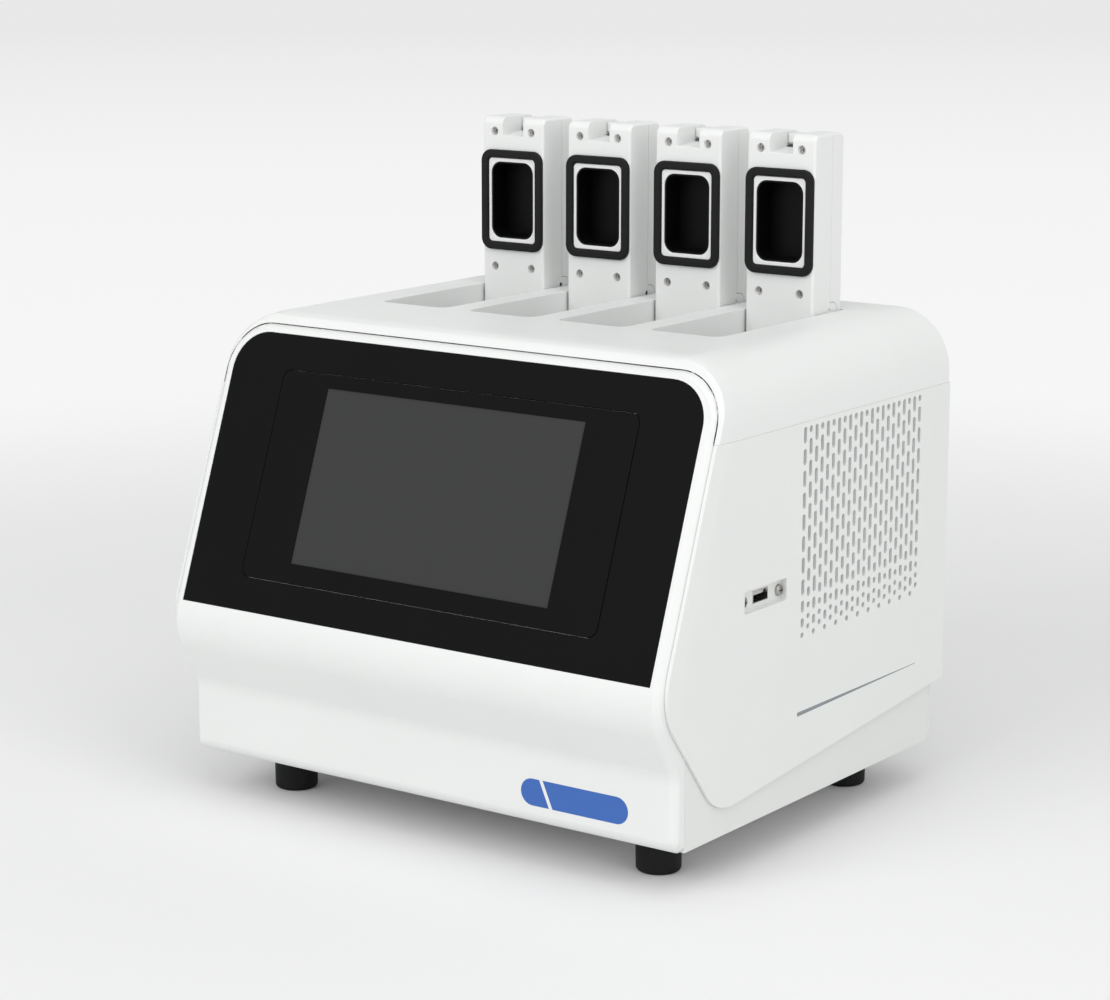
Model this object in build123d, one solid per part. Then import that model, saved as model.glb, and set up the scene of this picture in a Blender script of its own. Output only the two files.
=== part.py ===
"""Bench real-time PCR machine with four hinged lids, each sub-part written to its own STEP file.

Millimetres. X runs to the machine's right as seen from the front, Y to its back and Z up.
The origin lies under the middle of the machine, on the bench.
"""

from build123d import *
from math import cos, radians, sin, tan
import os

# Overall size
width = 298.0
depth = 256.6
foot_height = 22.5
body_height = 221.0

# Skins: the side panels and the top cover stand proud of the core by one step
skin_step = 3.0
rear_step = 2.0
cover_top_wall = 5.6
cover_corner_radius = 30.0
core_corner_radius = 24.0
cover_drop = 35.9
seam_gap = 0.25
skin_setback = 2.7
rim_chamfer = 1.65
rim_slope_rise = 1.2
rim_slope_run = 10.3
rear_rim_chamfer = 1.5
cut_over = 1.0

# Fascia: a leaning display face, a rounded knee under it and an upright apron
lean = 20.1
undercut = 29.0
panel_foot_setback = 1.9
panel_foot_rise = 81.5
knee_drop = 13.9
knee_radius = 30.0
apron_setback = 14.9
apron_bend_radius = 16.0
underside_radius = 7.0
fascia_edge_cut = 2.9
fascia_wall = 4.0
fascia_flange = 7.3
fascia_top_flange = 14.0

# Display
surround_side = 9.0
surround_height = 138.4
surround_radius = 20.0
surround_thickness = 2.0
bezel_width = 212.6
bezel_height = 104.0
bezel_radius = 5.0
bezel_centre_rise = 68.9
bezel_gap = 0.3
skirt_width = 196.0
skirt_height = 96.0
skirt_depth = 8.0
skirt_wall = 2.0
screen_width = 154.2
screen_height = 87.4
screen_centre_rise = 70.5
screen_recess = 0.6
screen_edge_cover = 3.0
lcd_thickness = 10.0
fit_gap = 0.2

# Side panels
side_knee_radius = 30.0
side_diagonal = 38.5
side_knee_drop = 11.6
side_foot_setback = 45.9
side_foot_rise = 13.0
side_rear_rise = 31.8
side_corner_radius = 8.0

# Vent grille in the right panel
vent_column_pitch = 5.17
vent_rear_margin = 31.1
vent_slot_width = 2.8
vent_slot = 7.9
vent_gap = 2.5
vent_below_seam = 2.3
vent_odd_count = 8
vent_odd_tail = (5.9, 4.7, 2.4)
vent_even_head = 3.4
vent_even_count = 6
vent_even_tail = (6.4, 4.8, 3.2, 2.5, 2.5)

# USB socket in the right panel
usb_front = 84.0
usb_vent_gap = 32.9
usb_z = 130.8
usb_recess_length = 36.4
usb_recess_height = 10.7
usb_recess_radius = 1.0
usb_bracket_length = 50.0
usb_bracket_height = 20.0
usb_bracket_thickness = 1.5
usb_shell_length = 13.1
usb_shell_height = 5.8
usb_shell_wall = 0.35
usb_shell_depth = 15.0
usb_tongue_thickness = 1.8
usb_tongue_setback = 1.6

# Base chassis and rear panel
sheet = 2.0
chassis_wall_rise = 70.0
rear_panel_thickness = 2.5
rear_wrap = 6.5
rear_wrap_radius = 6.0

# Feet
foot_side = 37.4
foot_front = 52.7
foot_rear = 33.7
foot_radius = 11.2
foot_edge_chamfer = 1.5

# Bays, one for each lid
bay_count = 4
bay_shoulder = 36.32
bay_spacing = 13.74
bay_length = 115.3
bay_rear_margin = 27.5
bay_front_radius = 6.0
bay_rear_radius = 2.0
bay_wall = 2.0
deck_thickness = 3.0
deck_margin = 8.0

# Lids, drawn standing open
lid_side_gap = 0.9
lid_rear_gap = 1.67
lid_tip_gap = 2.93
lid_outer_thickness = 11.0
lid_inner_thickness = 16.77
lid_tip_radius = 4.0
lid_heel_radius = 8.0
lid_edge_chamfer = 1.0
lid_seam = 0.15
ear_reach = 6.6
ear_height = 15.6
ear_round = 4.0
notch_width = 13.2
notch_depth = 8.0
notch_slope = 1.7
window_side = 7.0
window_height = 40.1
window_radius = 6.0
window_rise = 56.35
frame_width = 1.2
gasket_width = 4.6
gasket_proud = 2.3
gasket_gap = 0.15
seal_gap = 0.3
heater_wall = 1.2
heater_recess = 12.0
heater_corner_cut = 4.5
heater_setback = 0.4
lid_board_side = 6.05
lid_board_height = 34.0
lid_board_thickness = 1.6
lid_board_room = 6.0

# Lid latch
latch_width = 12.8
latch_side_gap = 0.3
latch_top_drop = 1.3
latch_nose_height = 5.2
latch_pad_length = 22.0
latch_pad_thickness = 3.7
latch_face_drop = 0.25
latch_wing = 1.6
latch_wing_length = 13.0
latch_wing_rise = 0.8
latch_ledge = 2.6
latch_ledge_step = 1.6
latch_ramp = 0.8
latch_travel = 1.8
strike_width = 8.0
strike_plate_width = 12.0
strike_thickness = 1.2
strike_blade = 0.9
strike_blade_gap = 0.2
strike_lip = 1.2
strike_lip_edge = 0.3
strike_lip_height = 1.3
strike_arm_drop = 9.0
strike_plate_height = 14.0

# Hinges
pin_radius = 2.5
pin_running_gap = 0.05
pin_seat_gap = 0.02
rod_overhang = 4.0
pin_slot_gap = 0.3
post_depth = 14.0
post_crown = 5.0

# Thermal modules under the deck
well_rows = 4
well_pitch = 9.0
well_radius = 2.7
well_wall = 1.8
well_sides = 8
well_depth = 9.5
block_window_gap = 0.05
block_length = 40.0
block_flange_reach = 4.5
block_flange_length = 49.0
block_flange_height = 10.0
block_gap = 0.25
peltier_length = 40.0
peltier_side = 4.0
peltier_thickness = 3.8
sink_spacing = 6.84
sink_length = 82.0
sink_base = 6.0
fin_height = 30.0
fin_thickness = 1.6
fin_count = 9

# Inner frame and electronics
cheek_inset = 18.0
cheek_front_reach = 11.5
module_plate_rear_gap = 14.8
board_width = 170.0
board_front_gap = 5.1
board_rear_gap = 5.0
board_thickness = 1.6
standoff_height = 10.0
standoff_radius = 3.5
supply_width = 98.0
supply_length = 96.0
supply_height = 45.0
supply_side_gap = 35.0
supply_rear_gap = 13.8

# Rear fan
fan_size = 120.0
fan_depth = 25.0
fan_bore_radius = 57.0
fan_rise = 123.0
fan_hub_radius = 22.0
fan_blade_root = 2.0
fan_blade_gap = 1.5
fan_blade_count = 7
fan_blade_thickness = 1.6
fan_blade_pitch = 38.0
fan_strut_width = 6.0
fan_strut_depth = 4.0
fan_corner_cut = 4.0
grille_bar = 4.0
grille_slot = 5.0
grille_rows = 12

# Power inlet and switch in the rear panel
inlet_inset = 54.0
inlet_rise = 34.0
inlet_body_width = 27.6
inlet_body_height = 20.2
inlet_body_depth = 22.0
inlet_flange_width = 33.0
inlet_flange_height = 26.0
inlet_flange_thickness = 1.8
inlet_cavity_width = 24.4
inlet_cavity_height = 16.6
inlet_cavity_depth = 18.0
inlet_pin_length = 13.0
inlet_pin_width = 4.0
inlet_pin_thickness = 2.0
inlet_pin_spread = 7.0
switch_spacing = 38.0
switch_width = 21.0
switch_height = 26.0
switch_flange = 1.5
switch_flange_thickness = 1.0
switch_depth = 16.0
rocker_width = 14.0
rocker_radius = 10.2
rocker_crown = 3.5
rocker_rim = 4.9
rocker_tilt = 9.0
rocker_bore_gap = 0.05
rocker_pin_radius = 1.5
rocker_pin_depth = 4.3

# Worked out from the values above
half_width = width / 2
core_half = half_width - skin_step
front_y = -depth / 2
rear_y = depth / 2
core_rear_y = rear_y - rear_step
base_z = foot_height
top_z = base_z + body_height
core_top_z = top_z - cover_top_wall
cover_seam_z = top_z - cover_drop
apron_y = front_y + apron_setback
apron_flange_y = apron_y + fascia_flange
panel_foot_y = front_y + panel_foot_setback
panel_foot_z = base_z + panel_foot_rise
lean_sin = sin(radians(lean))
lean_cos = cos(radians(lean))
rear_seam_y = core_rear_y - rear_wrap
rear_inner_y = core_rear_y - rear_panel_thickness
floor_top_z = base_z + sheet
surround_width = width - 2 * surround_side
usb_y = front_y + usb_front
vent_first_column = usb_y + usb_vent_gap
vent_columns = 1 + int((rear_y - vent_rear_margin - vent_first_column) / vent_column_pitch)
foot_x = half_width - foot_side
front_foot_y = front_y + foot_front
rear_foot_y = rear_y - foot_rear

bay_pitch = 2 * (core_half - bay_shoulder) / bay_count
bay_width = bay_pitch - bay_spacing
bay_rear_y = rear_y - bay_rear_margin
bay_front_y = bay_rear_y - bay_length
window_width = bay_width - 2 * window_side
lid_board_width = bay_width - 2 * lid_board_side
block_width = window_width - 2 * block_window_gap
block_flange_width = block_width + 2 * block_flange_reach
sink_width = bay_pitch - sink_spacing
peltier_width = sink_width - 2 * peltier_side
well_columns = 1 + int((block_width - 2 * (well_radius + well_wall)) / well_pitch + 0.01)

pivot_y = bay_rear_y - lid_rear_gap - lid_outer_thickness
pivot_z = top_z - lid_outer_thickness
lid_half = bay_width / 2 - lid_side_gap
lid_tip = pivot_y - bay_front_y - lid_tip_gap
deck_top_z = pivot_z - lid_inner_thickness - gasket_proud - seal_gap
deck_under_z = deck_top_z - deck_thickness
module_y = pivot_y - window_rise
gasket_outer_width = window_width + 2 * (frame_width + gasket_gap + gasket_width)
gasket_outer_height = window_height + 2 * (frame_width + gasket_gap + gasket_width)
post_thickness = bay_pitch - bay_width - 2 * bay_wall
block_bottom_z = deck_under_z - block_flange_height
sink_top_z = block_bottom_z - peltier_thickness
module_plate_top_z = sink_top_z - sink_base - fin_height
fan_z = base_z + fan_rise
bay_x = [bay_pitch * (i - (bay_count - 1) / 2) for i in range(bay_count)]

cheek_x = core_half - cheek_inset
cheek_front_y = bay_front_y - cheek_front_reach
module_plate_rear_y = bay_rear_y - module_plate_rear_gap
supply_x = core_half - supply_side_gap - supply_width / 2
supply_y = rear_inner_y - supply_rear_gap - supply_length / 2
board_front_y = apron_flange_y + board_front_gap
board_length = supply_y - supply_length / 2 - board_rear_gap - board_front_y
board_y = board_front_y + board_length / 2
inlet_x = inlet_inset - core_half
switch_x = inlet_x + switch_spacing

corner_cut = 2 - 2**0.5
big = 4 * max(width, depth, body_height)
face_plane = Plane(
    origin=(0, panel_foot_y, panel_foot_z),
    x_dir=(1, 0, 0),
    z_dir=(0, -lean_cos, lean_sin),
)


def block(x0, x1, y0, y1, z0, z1):
    """A box between two corners."""
    return Pos((x0 + x1) / 2, (y0 + y1) / 2, (z0 + z1) / 2) * Box(x1 - x0, y1 - y0, z1 - z0)


def bar_x(radius, x0, x1, y, z):
    """A round bar along X."""
    return Pos((x0 + x1) / 2, y, z) * Rot(0, 90, 0) * Cylinder(radius, x1 - x0)


def bar_y(radius, y0, y1, x, z):
    """A round bar along Y."""
    return Pos(x, (y0 + y1) / 2, z) * Rot(90, 0, 0) * Cylinder(radius, y1 - y0)


def bar_z(radius, z0, z1, x, y):
    """A round bar along Z."""
    return Pos(x, y, (z0 + z1) / 2) * Cylinder(radius, z1 - z0)


def edges_along(solid, axis, test):
    """The straight edges of a solid along one axis whose middle passes a test."""
    return [e for e in solid.edges().filter_by(axis) if test(e.center())]


def arch(half, top, radius, y0, y1, bottom):
    """A tunnel shape along Y: upright sides, a flat top and rounded shoulders."""
    body = block(-half, half, y0, y1, bottom, top)
    return fillet(edges_along(body, Axis.Y, lambda c: c.Z > top - 0.1), radius)


def behind_face(setback):
    """Everything more than a setback behind the leaning display face."""
    return extrude(face_plane.offset(-setback) * Rectangle(big, big), -big)


def face_line_y(z, setback=0.0):
    """Y of the display face, or of a plane set back behind it, at a height."""
    return panel_foot_y + (z - panel_foot_z) * tan(radians(lean)) + setback / lean_cos


def fillet_corner(face, y, z, radius):
    """Round one corner of an outline drawn in Y and Z."""
    near = min(face.vertices(), key=lambda v: (v.Y - y) ** 2 + (v.Z - z) ** 2)
    return fillet(near, radius)


def outline_yz(points):
    """A flat face in the YZ plane through the given points."""
    return make_face(Plane.YZ * Polyline(*points, close=True))


def front_corners():
    """Sharp corners of the front outline: the knee and the bend above the apron."""
    knee_z = panel_foot_z - knee_drop * lean_cos
    knee_y = face_line_y(knee_z)
    bend_z = knee_z - (apron_y - knee_y) / tan(radians(undercut))
    return (knee_y, knee_z), (apron_y, bend_z)


def front_outline(inset, rear):
    """Side outline of the fascia's front, moved inwards by an inset."""
    knee, bend = front_corners()
    half_knee = radians(lean + undercut) / 2
    half_bend = radians(undercut) / 2
    knee_in = (
        knee[0] + inset * cos(radians(lean) - half_knee) / cos(half_knee),
        knee[1] - inset * sin(radians(lean) - half_knee) / cos(half_knee),
    )
    bend_in = (apron_y + inset, bend[1] + inset * tan(half_bend))
    high = top_z + inset
    points = [
        (face_line_y(high, inset), high),
        knee_in,
        bend_in,
        (apron_y + inset, base_z + inset),
        (rear, base_z + inset),
        (rear, high),
    ]
    face = outline_yz(points)
    face = fillet_corner(face, *knee_in, knee_radius - inset)
    face = fillet_corner(face, *bend_in, apron_bend_radius + inset)
    return fillet_corner(face, apron_y + inset, base_z + inset, underside_radius - inset)


def on_front_rim(edge, rear):
    """True for the edges where the fascia's front meets its sides and its top."""
    middle = edge.center()
    way = edge.tangent_at(0.5)
    across = abs(way.X) > 0.9 and middle.Z < core_top_z - 1
    return middle.Y < rear - 0.1 and abs(way.Y) < 0.999 and not across


def make_fascia():
    """The moulded front shell with the pocket and the window for the display."""
    rear = face_line_y(core_top_z, fascia_top_flange) + 1
    shell = extrude(front_outline(0, rear), core_half, both=True)
    shell &= arch(core_half, core_top_z - seam_gap, core_corner_radius, front_y - 1, rear, base_z)
    shell = chamfer([e for e in shell.edges() if on_front_rim(e, rear)], fascia_edge_cut)
    room = extrude(front_outline(fascia_wall, rear + 1), core_half - fascia_wall, both=True)
    room &= arch(
        core_half - fascia_wall,
        core_top_z - seam_gap - fascia_wall,
        core_corner_radius - fascia_wall,
        front_y - 1,
        rear + 1,
        base_z,
    )
    shell -= room
    turn_z = panel_foot_z + (apron_flange_y - panel_foot_y - fascia_top_flange / lean_cos) / tan(
        radians(lean)
    )
    kept = [
        (front_y - 1, base_z - 1),
        (apron_flange_y, base_z - 1),
        (apron_flange_y, turn_z),
        (face_line_y(top_z, fascia_top_flange), top_z),
        (front_y - 1, top_z),
    ]
    shell &= extrude(outline_yz(kept), half_width, both=True)
    shell -= surround_solid(fit_gap)
    return shell - panel_window(skirt_width, skirt_height, 2 * fascia_wall, bezel_centre_rise)


def panel_window(wide, high, deep, rise):
    """A cutter of a given size through the display face."""
    sketch = face_plane * Pos(0, rise, deep) * Rectangle(wide, high)
    return extrude(sketch, -2 * deep)


def surround_solid(grow=0.0):
    """The black plate's outline as a solid, or a slightly larger one to cut its pocket."""
    plate = Rectangle(surround_width + 2 * grow, surround_height + 2 * grow)
    upper = plate.vertices().sort_by(Axis.Y)[2:]
    plate = fillet(upper, surround_radius + grow)
    return extrude(face_plane * Pos(0, surround_height / 2, 0) * plate, -surround_thickness)


def make_surround():
    """The black plate around the touch screen."""
    opening = RectangleRounded(
        bezel_width + 2 * bezel_gap, bezel_height + 2 * bezel_gap, bezel_radius + bezel_gap
    )
    cutter = extrude(
        face_plane * Pos(0, bezel_centre_rise, cut_over) * opening, -surround_thickness - 2 * cut_over
    )
    return surround_solid() - cutter


def face_prism(sketch, rise, start, thickness):
    """A sketch on the display face, from one depth below it, made thick towards the inside."""
    return extrude(face_plane * Pos(0, rise, -start) * sketch, -thickness)


def make_bezel():
    """The touch unit's front frame: a flange, a skirt behind it and a rebate for the glass."""
    plate = RectangleRounded(bezel_width, bezel_height, bezel_radius)
    bezel = face_prism(plate, bezel_centre_rise, 0, surround_thickness)
    skirt = Rectangle(skirt_width - 2 * fit_gap, skirt_height - 2 * fit_gap)
    skirt -= Rectangle(
        skirt_width - 2 * fit_gap - 2 * skirt_wall, skirt_height - 2 * fit_gap - 2 * skirt_wall
    )
    bezel += face_prism(skirt, bezel_centre_rise, surround_thickness, skirt_depth)
    bezel -= face_prism(
        Rectangle(screen_width, screen_height), screen_centre_rise, -cut_over,
        surround_thickness + 2 * cut_over,
    )
    glass = Rectangle(
        screen_width + 2 * screen_edge_cover + 2 * fit_gap,
        screen_height + 2 * screen_edge_cover + 2 * fit_gap,
    )
    return bezel - face_prism(glass, screen_centre_rise, screen_recess, surround_thickness)


def make_screen():
    """The touch glass in the bezel's rebate."""
    glass = Rectangle(
        screen_width + 2 * screen_edge_cover, screen_height + 2 * screen_edge_cover
    )
    return face_prism(
        glass, screen_centre_rise, screen_recess, surround_thickness - screen_recess
    )


def make_lcd():
    """The display module behind the glass, inside the skirt."""
    inner = 2 * (2 * fit_gap + skirt_wall)
    return face_prism(
        Rectangle(skirt_width - inner, skirt_height - inner),
        bezel_centre_rise,
        surround_thickness,
        lcd_thickness,
    )


def make_cover():
    """The top cover: an arched skin with four walled bays for the lids."""
    solid = arch(half_width, top_z, cover_corner_radius, front_y, rear_y, cover_seam_z)
    rim = [e for e in solid.edges() if abs(e.center().Y - rear_y) < 0.01]
    rim = [e for e in rim if e.center().Z > cover_seam_z + 0.1]
    solid = chamfer(rim, rear_rim_chamfer)
    solid &= behind_face(skin_setback)
    solid = soften_front(solid)
    solid -= arch(core_half, core_top_z, core_corner_radius, front_y, rear_y + 1, cover_seam_z - 1)
    half = bay_width / 2 + bay_wall
    slot = pin_radius + pin_slot_gap
    for x in bay_x:
        solid += block(
            x - half, x + half, bay_front_y - bay_wall, bay_rear_y + bay_wall,
            deck_top_z, top_z - 1,
        )
        solid -= Pos(x, 0, 0) * bay_prism()
        solid -= block(
            x - half - 1, x + half + 1, pivot_y - slot, pivot_y + slot,
            deck_top_z - 1, pivot_z + slot,
        )
    return solid


def soften_front(solid):
    """Slope and chamfer the outer front edge of a skin cut behind the display face."""
    normal = face_plane.z_dir
    for side, front_leg, side_leg in (
        ("slope", rim_slope_rise, rim_slope_run),
        ("chamfer", rim_chamfer, rim_chamfer),
    ):
        faces = [f for f in solid.faces().filter_by(GeomType.PLANE)]
        front = max((f for f in faces if f.normal_at().dot(normal) > 0.999), key=lambda f: f.area)
        low = min(v.Z for v in front.vertices())
        edges = [e for e in front.edges() if e.center().Z > low + 0.1]
        solid = chamfer(edges, front_leg, side_leg, reference=front)
    return solid


def bay_prism():
    """The upright opening of one bay at the middle."""
    half = bay_width / 2
    body = block(-half, half, bay_front_y, bay_rear_y, deck_top_z - 1, top_z + 1)
    middle = (bay_front_y + bay_rear_y) / 2
    body = fillet(edges_along(body, Axis.Z, lambda c: c.Y < middle), bay_front_radius)
    return fillet(edges_along(body, Axis.Z, lambda c: c.Y > middle), bay_rear_radius)


def side_outline():
    """Outline of a side panel in Y and Z, with its sharp lower front corner."""
    knee_z = panel_foot_z - side_knee_drop * lean_cos
    knee_y = face_line_y(knee_z, skin_setback)
    foot = (front_y + side_foot_setback, base_z + side_foot_rise)
    points = [
        (face_line_y(cover_seam_z, skin_setback), cover_seam_z),
        (knee_y, knee_z),
        foot,
        (rear_y, base_z + side_rear_rise),
        (rear_y, cover_seam_z),
    ]
    return fillet_corner(outline_yz(points), knee_y, knee_z, side_knee_radius), foot


def make_side_blank():
    """The right side panel before its openings are cut."""
    face, foot = side_outline()
    solid = Pos(core_half, 0, 0) * extrude(face, skin_step)
    for front_leg, side_leg in ((rim_slope_rise, rim_slope_run), (rim_chamfer, rim_chamfer)):
        outer = max(solid.faces().filter_by(Axis.X), key=lambda f: (round(f.center().X, 2), f.area))
        edges = [e for e in outer.edges() if is_front_edge(e, foot)]
        solid = chamfer(edges, side_leg, front_leg, reference=outer)
    return solid


def is_front_edge(edge, foot):
    """True for the leading edges of a side panel: the incline, the knee and the diagonal."""
    middle = edge.center()
    way = edge.tangent_at(0.5)
    return middle.Y < foot[0] + 8 and abs(way.Z) > 0.4


def vent_tops(column):
    """Top and length of each slot of one column, from the seam down."""
    z = cover_seam_z - vent_below_seam
    if column % 2:
        lengths = (vent_even_head,) + (vent_slot,) * vent_even_count + vent_even_tail
    else:
        lengths = (vent_slot,) * vent_odd_count + vent_odd_tail
    for length in lengths:
        yield z, length
        z -= length + vent_gap


def vent_cutters(x0, x1):
    """All the slots of the grille as one cutter."""
    slots = []
    for column in range(vent_columns):
        y = vent_first_column + column * vent_column_pitch
        half = vent_slot_width / 2
        for top, length in vent_tops(column):
            slots.append(block(x0, x1, y - half, y + half, top - length, top))
    return slots


def usb_recess_cutter():
    """The opening in the side panel around the USB socket."""
    body = block(
        core_half - 1,
        half_width + 1,
        usb_y - usb_recess_length / 2,
        usb_y + usb_recess_length / 2,
        usb_z - usb_recess_height / 2,
        usb_z + usb_recess_height / 2,
    )
    return fillet(body.edges().filter_by(Axis.X), usb_recess_radius)


def make_right_panel():
    """The right side panel with its vent grille and the USB recess."""
    panel = make_side_blank() - usb_recess_cutter()
    return panel - vent_cutters(core_half - 1, half_width + 1)


def make_left_panel():
    """The left side panel, the mirror of the right one without its openings."""
    return mirror(make_side_blank(), about=Plane.YZ)


def make_chassis():
    """The base tray: a floor and two upright sides behind the fascia."""
    front = apron_flange_y + fit_gap
    rear = rear_seam_y
    tray = block(-core_half, core_half, front, rear, base_z, base_z + chassis_wall_rise)
    inner = core_half - sheet
    return tray - block(
        -inner, inner, front - 1, rear + 1, floor_top_z, base_z + chassis_wall_rise + 1
    )


def rear_tray(inset, bend_radius):
    """The rear panel's solid outline: an arch with rounded upright edges."""
    half = core_half - inset
    top = core_top_z - seam_gap - inset
    front = rear_seam_y - inset
    rear = core_rear_y - inset
    body = arch(half, top, core_corner_radius - inset, front, rear, base_z + (sheet if inset else 0))
    plan = block(-half, half, front - 2 * rear_wrap_radius, rear, base_z, core_top_z)
    return body & fillet(edges_along(plan, Axis.Z, lambda c: c.Y > rear - 1), bend_radius)


def make_rear_panel():
    """The rear panel: folded sides, the fan's grille and two cut-outs."""
    wall = rear_panel_thickness
    panel = rear_tray(0, rear_wrap_radius) - rear_tray(wall, rear_wrap_radius - wall)
    panel -= fan_grille_cutters()
    panel -= rear_hole(inlet_x, base_z + inlet_rise, inlet_body_width, inlet_body_height)
    return panel - rear_hole(
        switch_x,
        base_z + inlet_rise,
        switch_width - 2 * switch_flange,
        switch_height - 2 * switch_flange,
    )


def rear_hole(x, z, wide, high):
    """A cut-out in the rear panel with a small gap around the piece that it holds."""
    return block(
        x - wide / 2 - fit_gap,
        x + wide / 2 + fit_gap,
        rear_inner_y - 1,
        core_rear_y + 1,
        z - high / 2 - fit_gap,
        z + high / 2 + fit_gap,
    )


def fan_grille_cutters():
    """Level slots that fill the circle in front of the fan."""
    radius = fan_bore_radius - 1
    pitch = grille_bar + grille_slot
    cutters = []
    for row in range(grille_rows):
        rise = (row - (grille_rows - 1) / 2) * pitch
        low = fan_z + rise - grille_slot / 2
        half = (radius**2 - (abs(rise) + grille_slot / 2) ** 2) ** 0.5
        cutters.append(block(-half, half, rear_inner_y - 1, core_rear_y + 1, low, low + grille_slot))
    return cutters


def make_feet():
    """Four round rubber feet."""
    foot = bar_z(foot_radius, 0, foot_height, 0, 0)
    foot = chamfer(foot.edges().sort_by(Axis.Z)[0], foot_edge_chamfer)
    return [
        Pos(x, y, 0) * foot
        for x in (-foot_x, foot_x)
        for y in (front_foot_y, rear_foot_y)
    ]


def make_usb_bracket():
    """The plate behind the side panel that carries the USB socket."""
    plate = block(
        core_half - usb_bracket_thickness,
        core_half,
        usb_y - usb_bracket_length / 2,
        usb_y + usb_bracket_length / 2,
        usb_z - usb_bracket_height / 2,
        usb_z + usb_bracket_height / 2,
    )
    return plate - block(
        core_half - usb_bracket_thickness - 1,
        core_half + 1,
        usb_y - usb_shell_length / 2 - fit_gap / 2,
        usb_y + usb_shell_length / 2 + fit_gap / 2,
        usb_z - usb_shell_height / 2 - fit_gap / 2,
        usb_z + usb_shell_height / 2 + fit_gap / 2,
    )


def make_usb_socket():
    """The USB socket: a steel shell with its contact tongue."""
    x0 = core_half - usb_shell_depth
    half_y = usb_shell_length / 2
    half_z = usb_shell_height / 2
    shell = block(x0, core_half, usb_y - half_y, usb_y + half_y, usb_z - half_z, usb_z + half_z)
    inner_y = half_y - usb_shell_wall
    inner_z = half_z - usb_shell_wall
    shell -= block(
        x0 + usb_shell_wall,
        core_half + 1,
        usb_y - inner_y,
        usb_y + inner_y,
        usb_z - inner_z,
        usb_z + inner_z,
    )
    tongue_top = usb_z + inner_z - usb_shell_wall
    return shell + block(
        x0,
        core_half - usb_tongue_setback,
        usb_y - inner_y + 1,
        usb_y + inner_y - 1,
        tongue_top - usb_tongue_thickness,
        tongue_top,
    )


def make_deck():
    """The deck under the bays, with an opening for each sample block."""
    reach = cheek_x + sheet
    deck = block(
        -reach, reach, bay_front_y - deck_margin, bay_rear_y + deck_margin, deck_under_z, deck_top_z
    )
    half_x = block_width / 2 + block_gap
    half_y = block_length / 2 + block_gap
    for x in bay_x:
        deck -= block(
            x - half_x, x + half_x, module_y - half_y, module_y + half_y,
            deck_under_z - 1, deck_top_z + 1,
        )
    return deck


def make_sample_block():
    """One sample block at the middle: a stepped block with its wells."""
    body = block(
        -block_width / 2, block_width / 2,
        module_y - block_length / 2, module_y + block_length / 2,
        deck_under_z, deck_top_z,
    )
    body += block(
        -block_flange_width / 2, block_flange_width / 2,
        module_y - block_flange_length / 2, module_y + block_flange_length / 2,
        block_bottom_z, deck_under_z,
    )
    mouth = Plane.XY.offset(deck_top_z) * RegularPolygon(well_radius, well_sides)
    well = extrude(mouth, -well_depth)
    for column in range(well_columns):
        for row in range(well_rows):
            x = (column - (well_columns - 1) / 2) * well_pitch
            y = module_y + (row - (well_rows - 1) / 2) * well_pitch
            body -= Pos(x, y, 0) * well
    return body


def make_peltiers():
    """The thermoelectric plates under the sample blocks."""
    half_x = peltier_width / 2
    half_y = peltier_length / 2
    return [
        block(
            x - half_x, x + half_x, module_y - half_y, module_y + half_y,
            sink_top_z, block_bottom_z,
        )
        for x in bay_x
    ]


def make_heat_sinks():
    """A finned heat sink under each thermoelectric plate."""
    sinks = []
    fin_bottom = module_plate_top_z
    base_bottom = sink_top_z - sink_base
    y0 = module_y - sink_length / 2
    y1 = module_y + sink_length / 2
    step = (sink_width - fin_thickness) / (fin_count - 1)
    for x in bay_x:
        sink = block(x - sink_width / 2, x + sink_width / 2, y0, y1, base_bottom, sink_top_z)
        for i in range(fin_count):
            left = x - sink_width / 2 + i * step
            sink += block(left, left + fin_thickness, y0, y1, fin_bottom, base_bottom)
        sinks.append(sink)
    return sinks


def make_cheek(side):
    """One upright frame plate between the floor and the deck."""
    x0, x1 = sorted((side * cheek_x, side * (cheek_x + sheet)))
    return block(x0, x1, cheek_front_y, bay_rear_y + deck_margin, floor_top_z, deck_under_z)


def make_module_plate():
    """The shelf between the cheeks that carries the heat sinks."""
    return block(
        -cheek_x, cheek_x, cheek_front_y, module_plate_rear_y,
        module_plate_top_z - sheet, module_plate_top_z,
    )


def make_hinge_posts():
    """The blocks beside and between the bays that hold the hinge rod."""
    posts = []
    for i in range(bay_count + 1):
        x = bay_pitch * (i - bay_count / 2)
        post = block(
            x - post_thickness / 2, x + post_thickness / 2,
            pivot_y - post_depth / 2, pivot_y + post_depth / 2,
            deck_top_z, pivot_z + post_crown,
        )
        reach = post_thickness / 2 + 1
        posts.append(post - bar_x(pin_radius + pin_seat_gap, x - reach, x + reach, pivot_y, pivot_z))
    return posts


def make_hinge_rod():
    """One steel rod through all the posts and lids."""
    reach = bay_pitch * bay_count / 2 + rod_overhang
    return bar_x(pin_radius, -reach, reach, pivot_y, pivot_z)


def lid_block(half, y0, y1, z0, z1):
    """A box across the lid at the middle, placed from the hinge axis."""
    return block(-half, half, pivot_y + y0, pivot_y + y1, pivot_z + z0, pivot_z + z1)


def lid_outline(points):
    """An outline in Y and Z placed from the hinge axis."""
    return outline_yz([(pivot_y + y, pivot_z + z) for y, z in points])


def lid_face_prism(wide, high, radius, rise, y0, y1):
    """A rounded rectangle seen from the lid's inner face, made thick along Y."""
    sketch = RectangleRounded(wide, high, radius)
    solid = extrude(Plane.XZ * sketch, y0 - y1)
    return Pos(0, pivot_y + y0, pivot_z + rise) * solid


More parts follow.
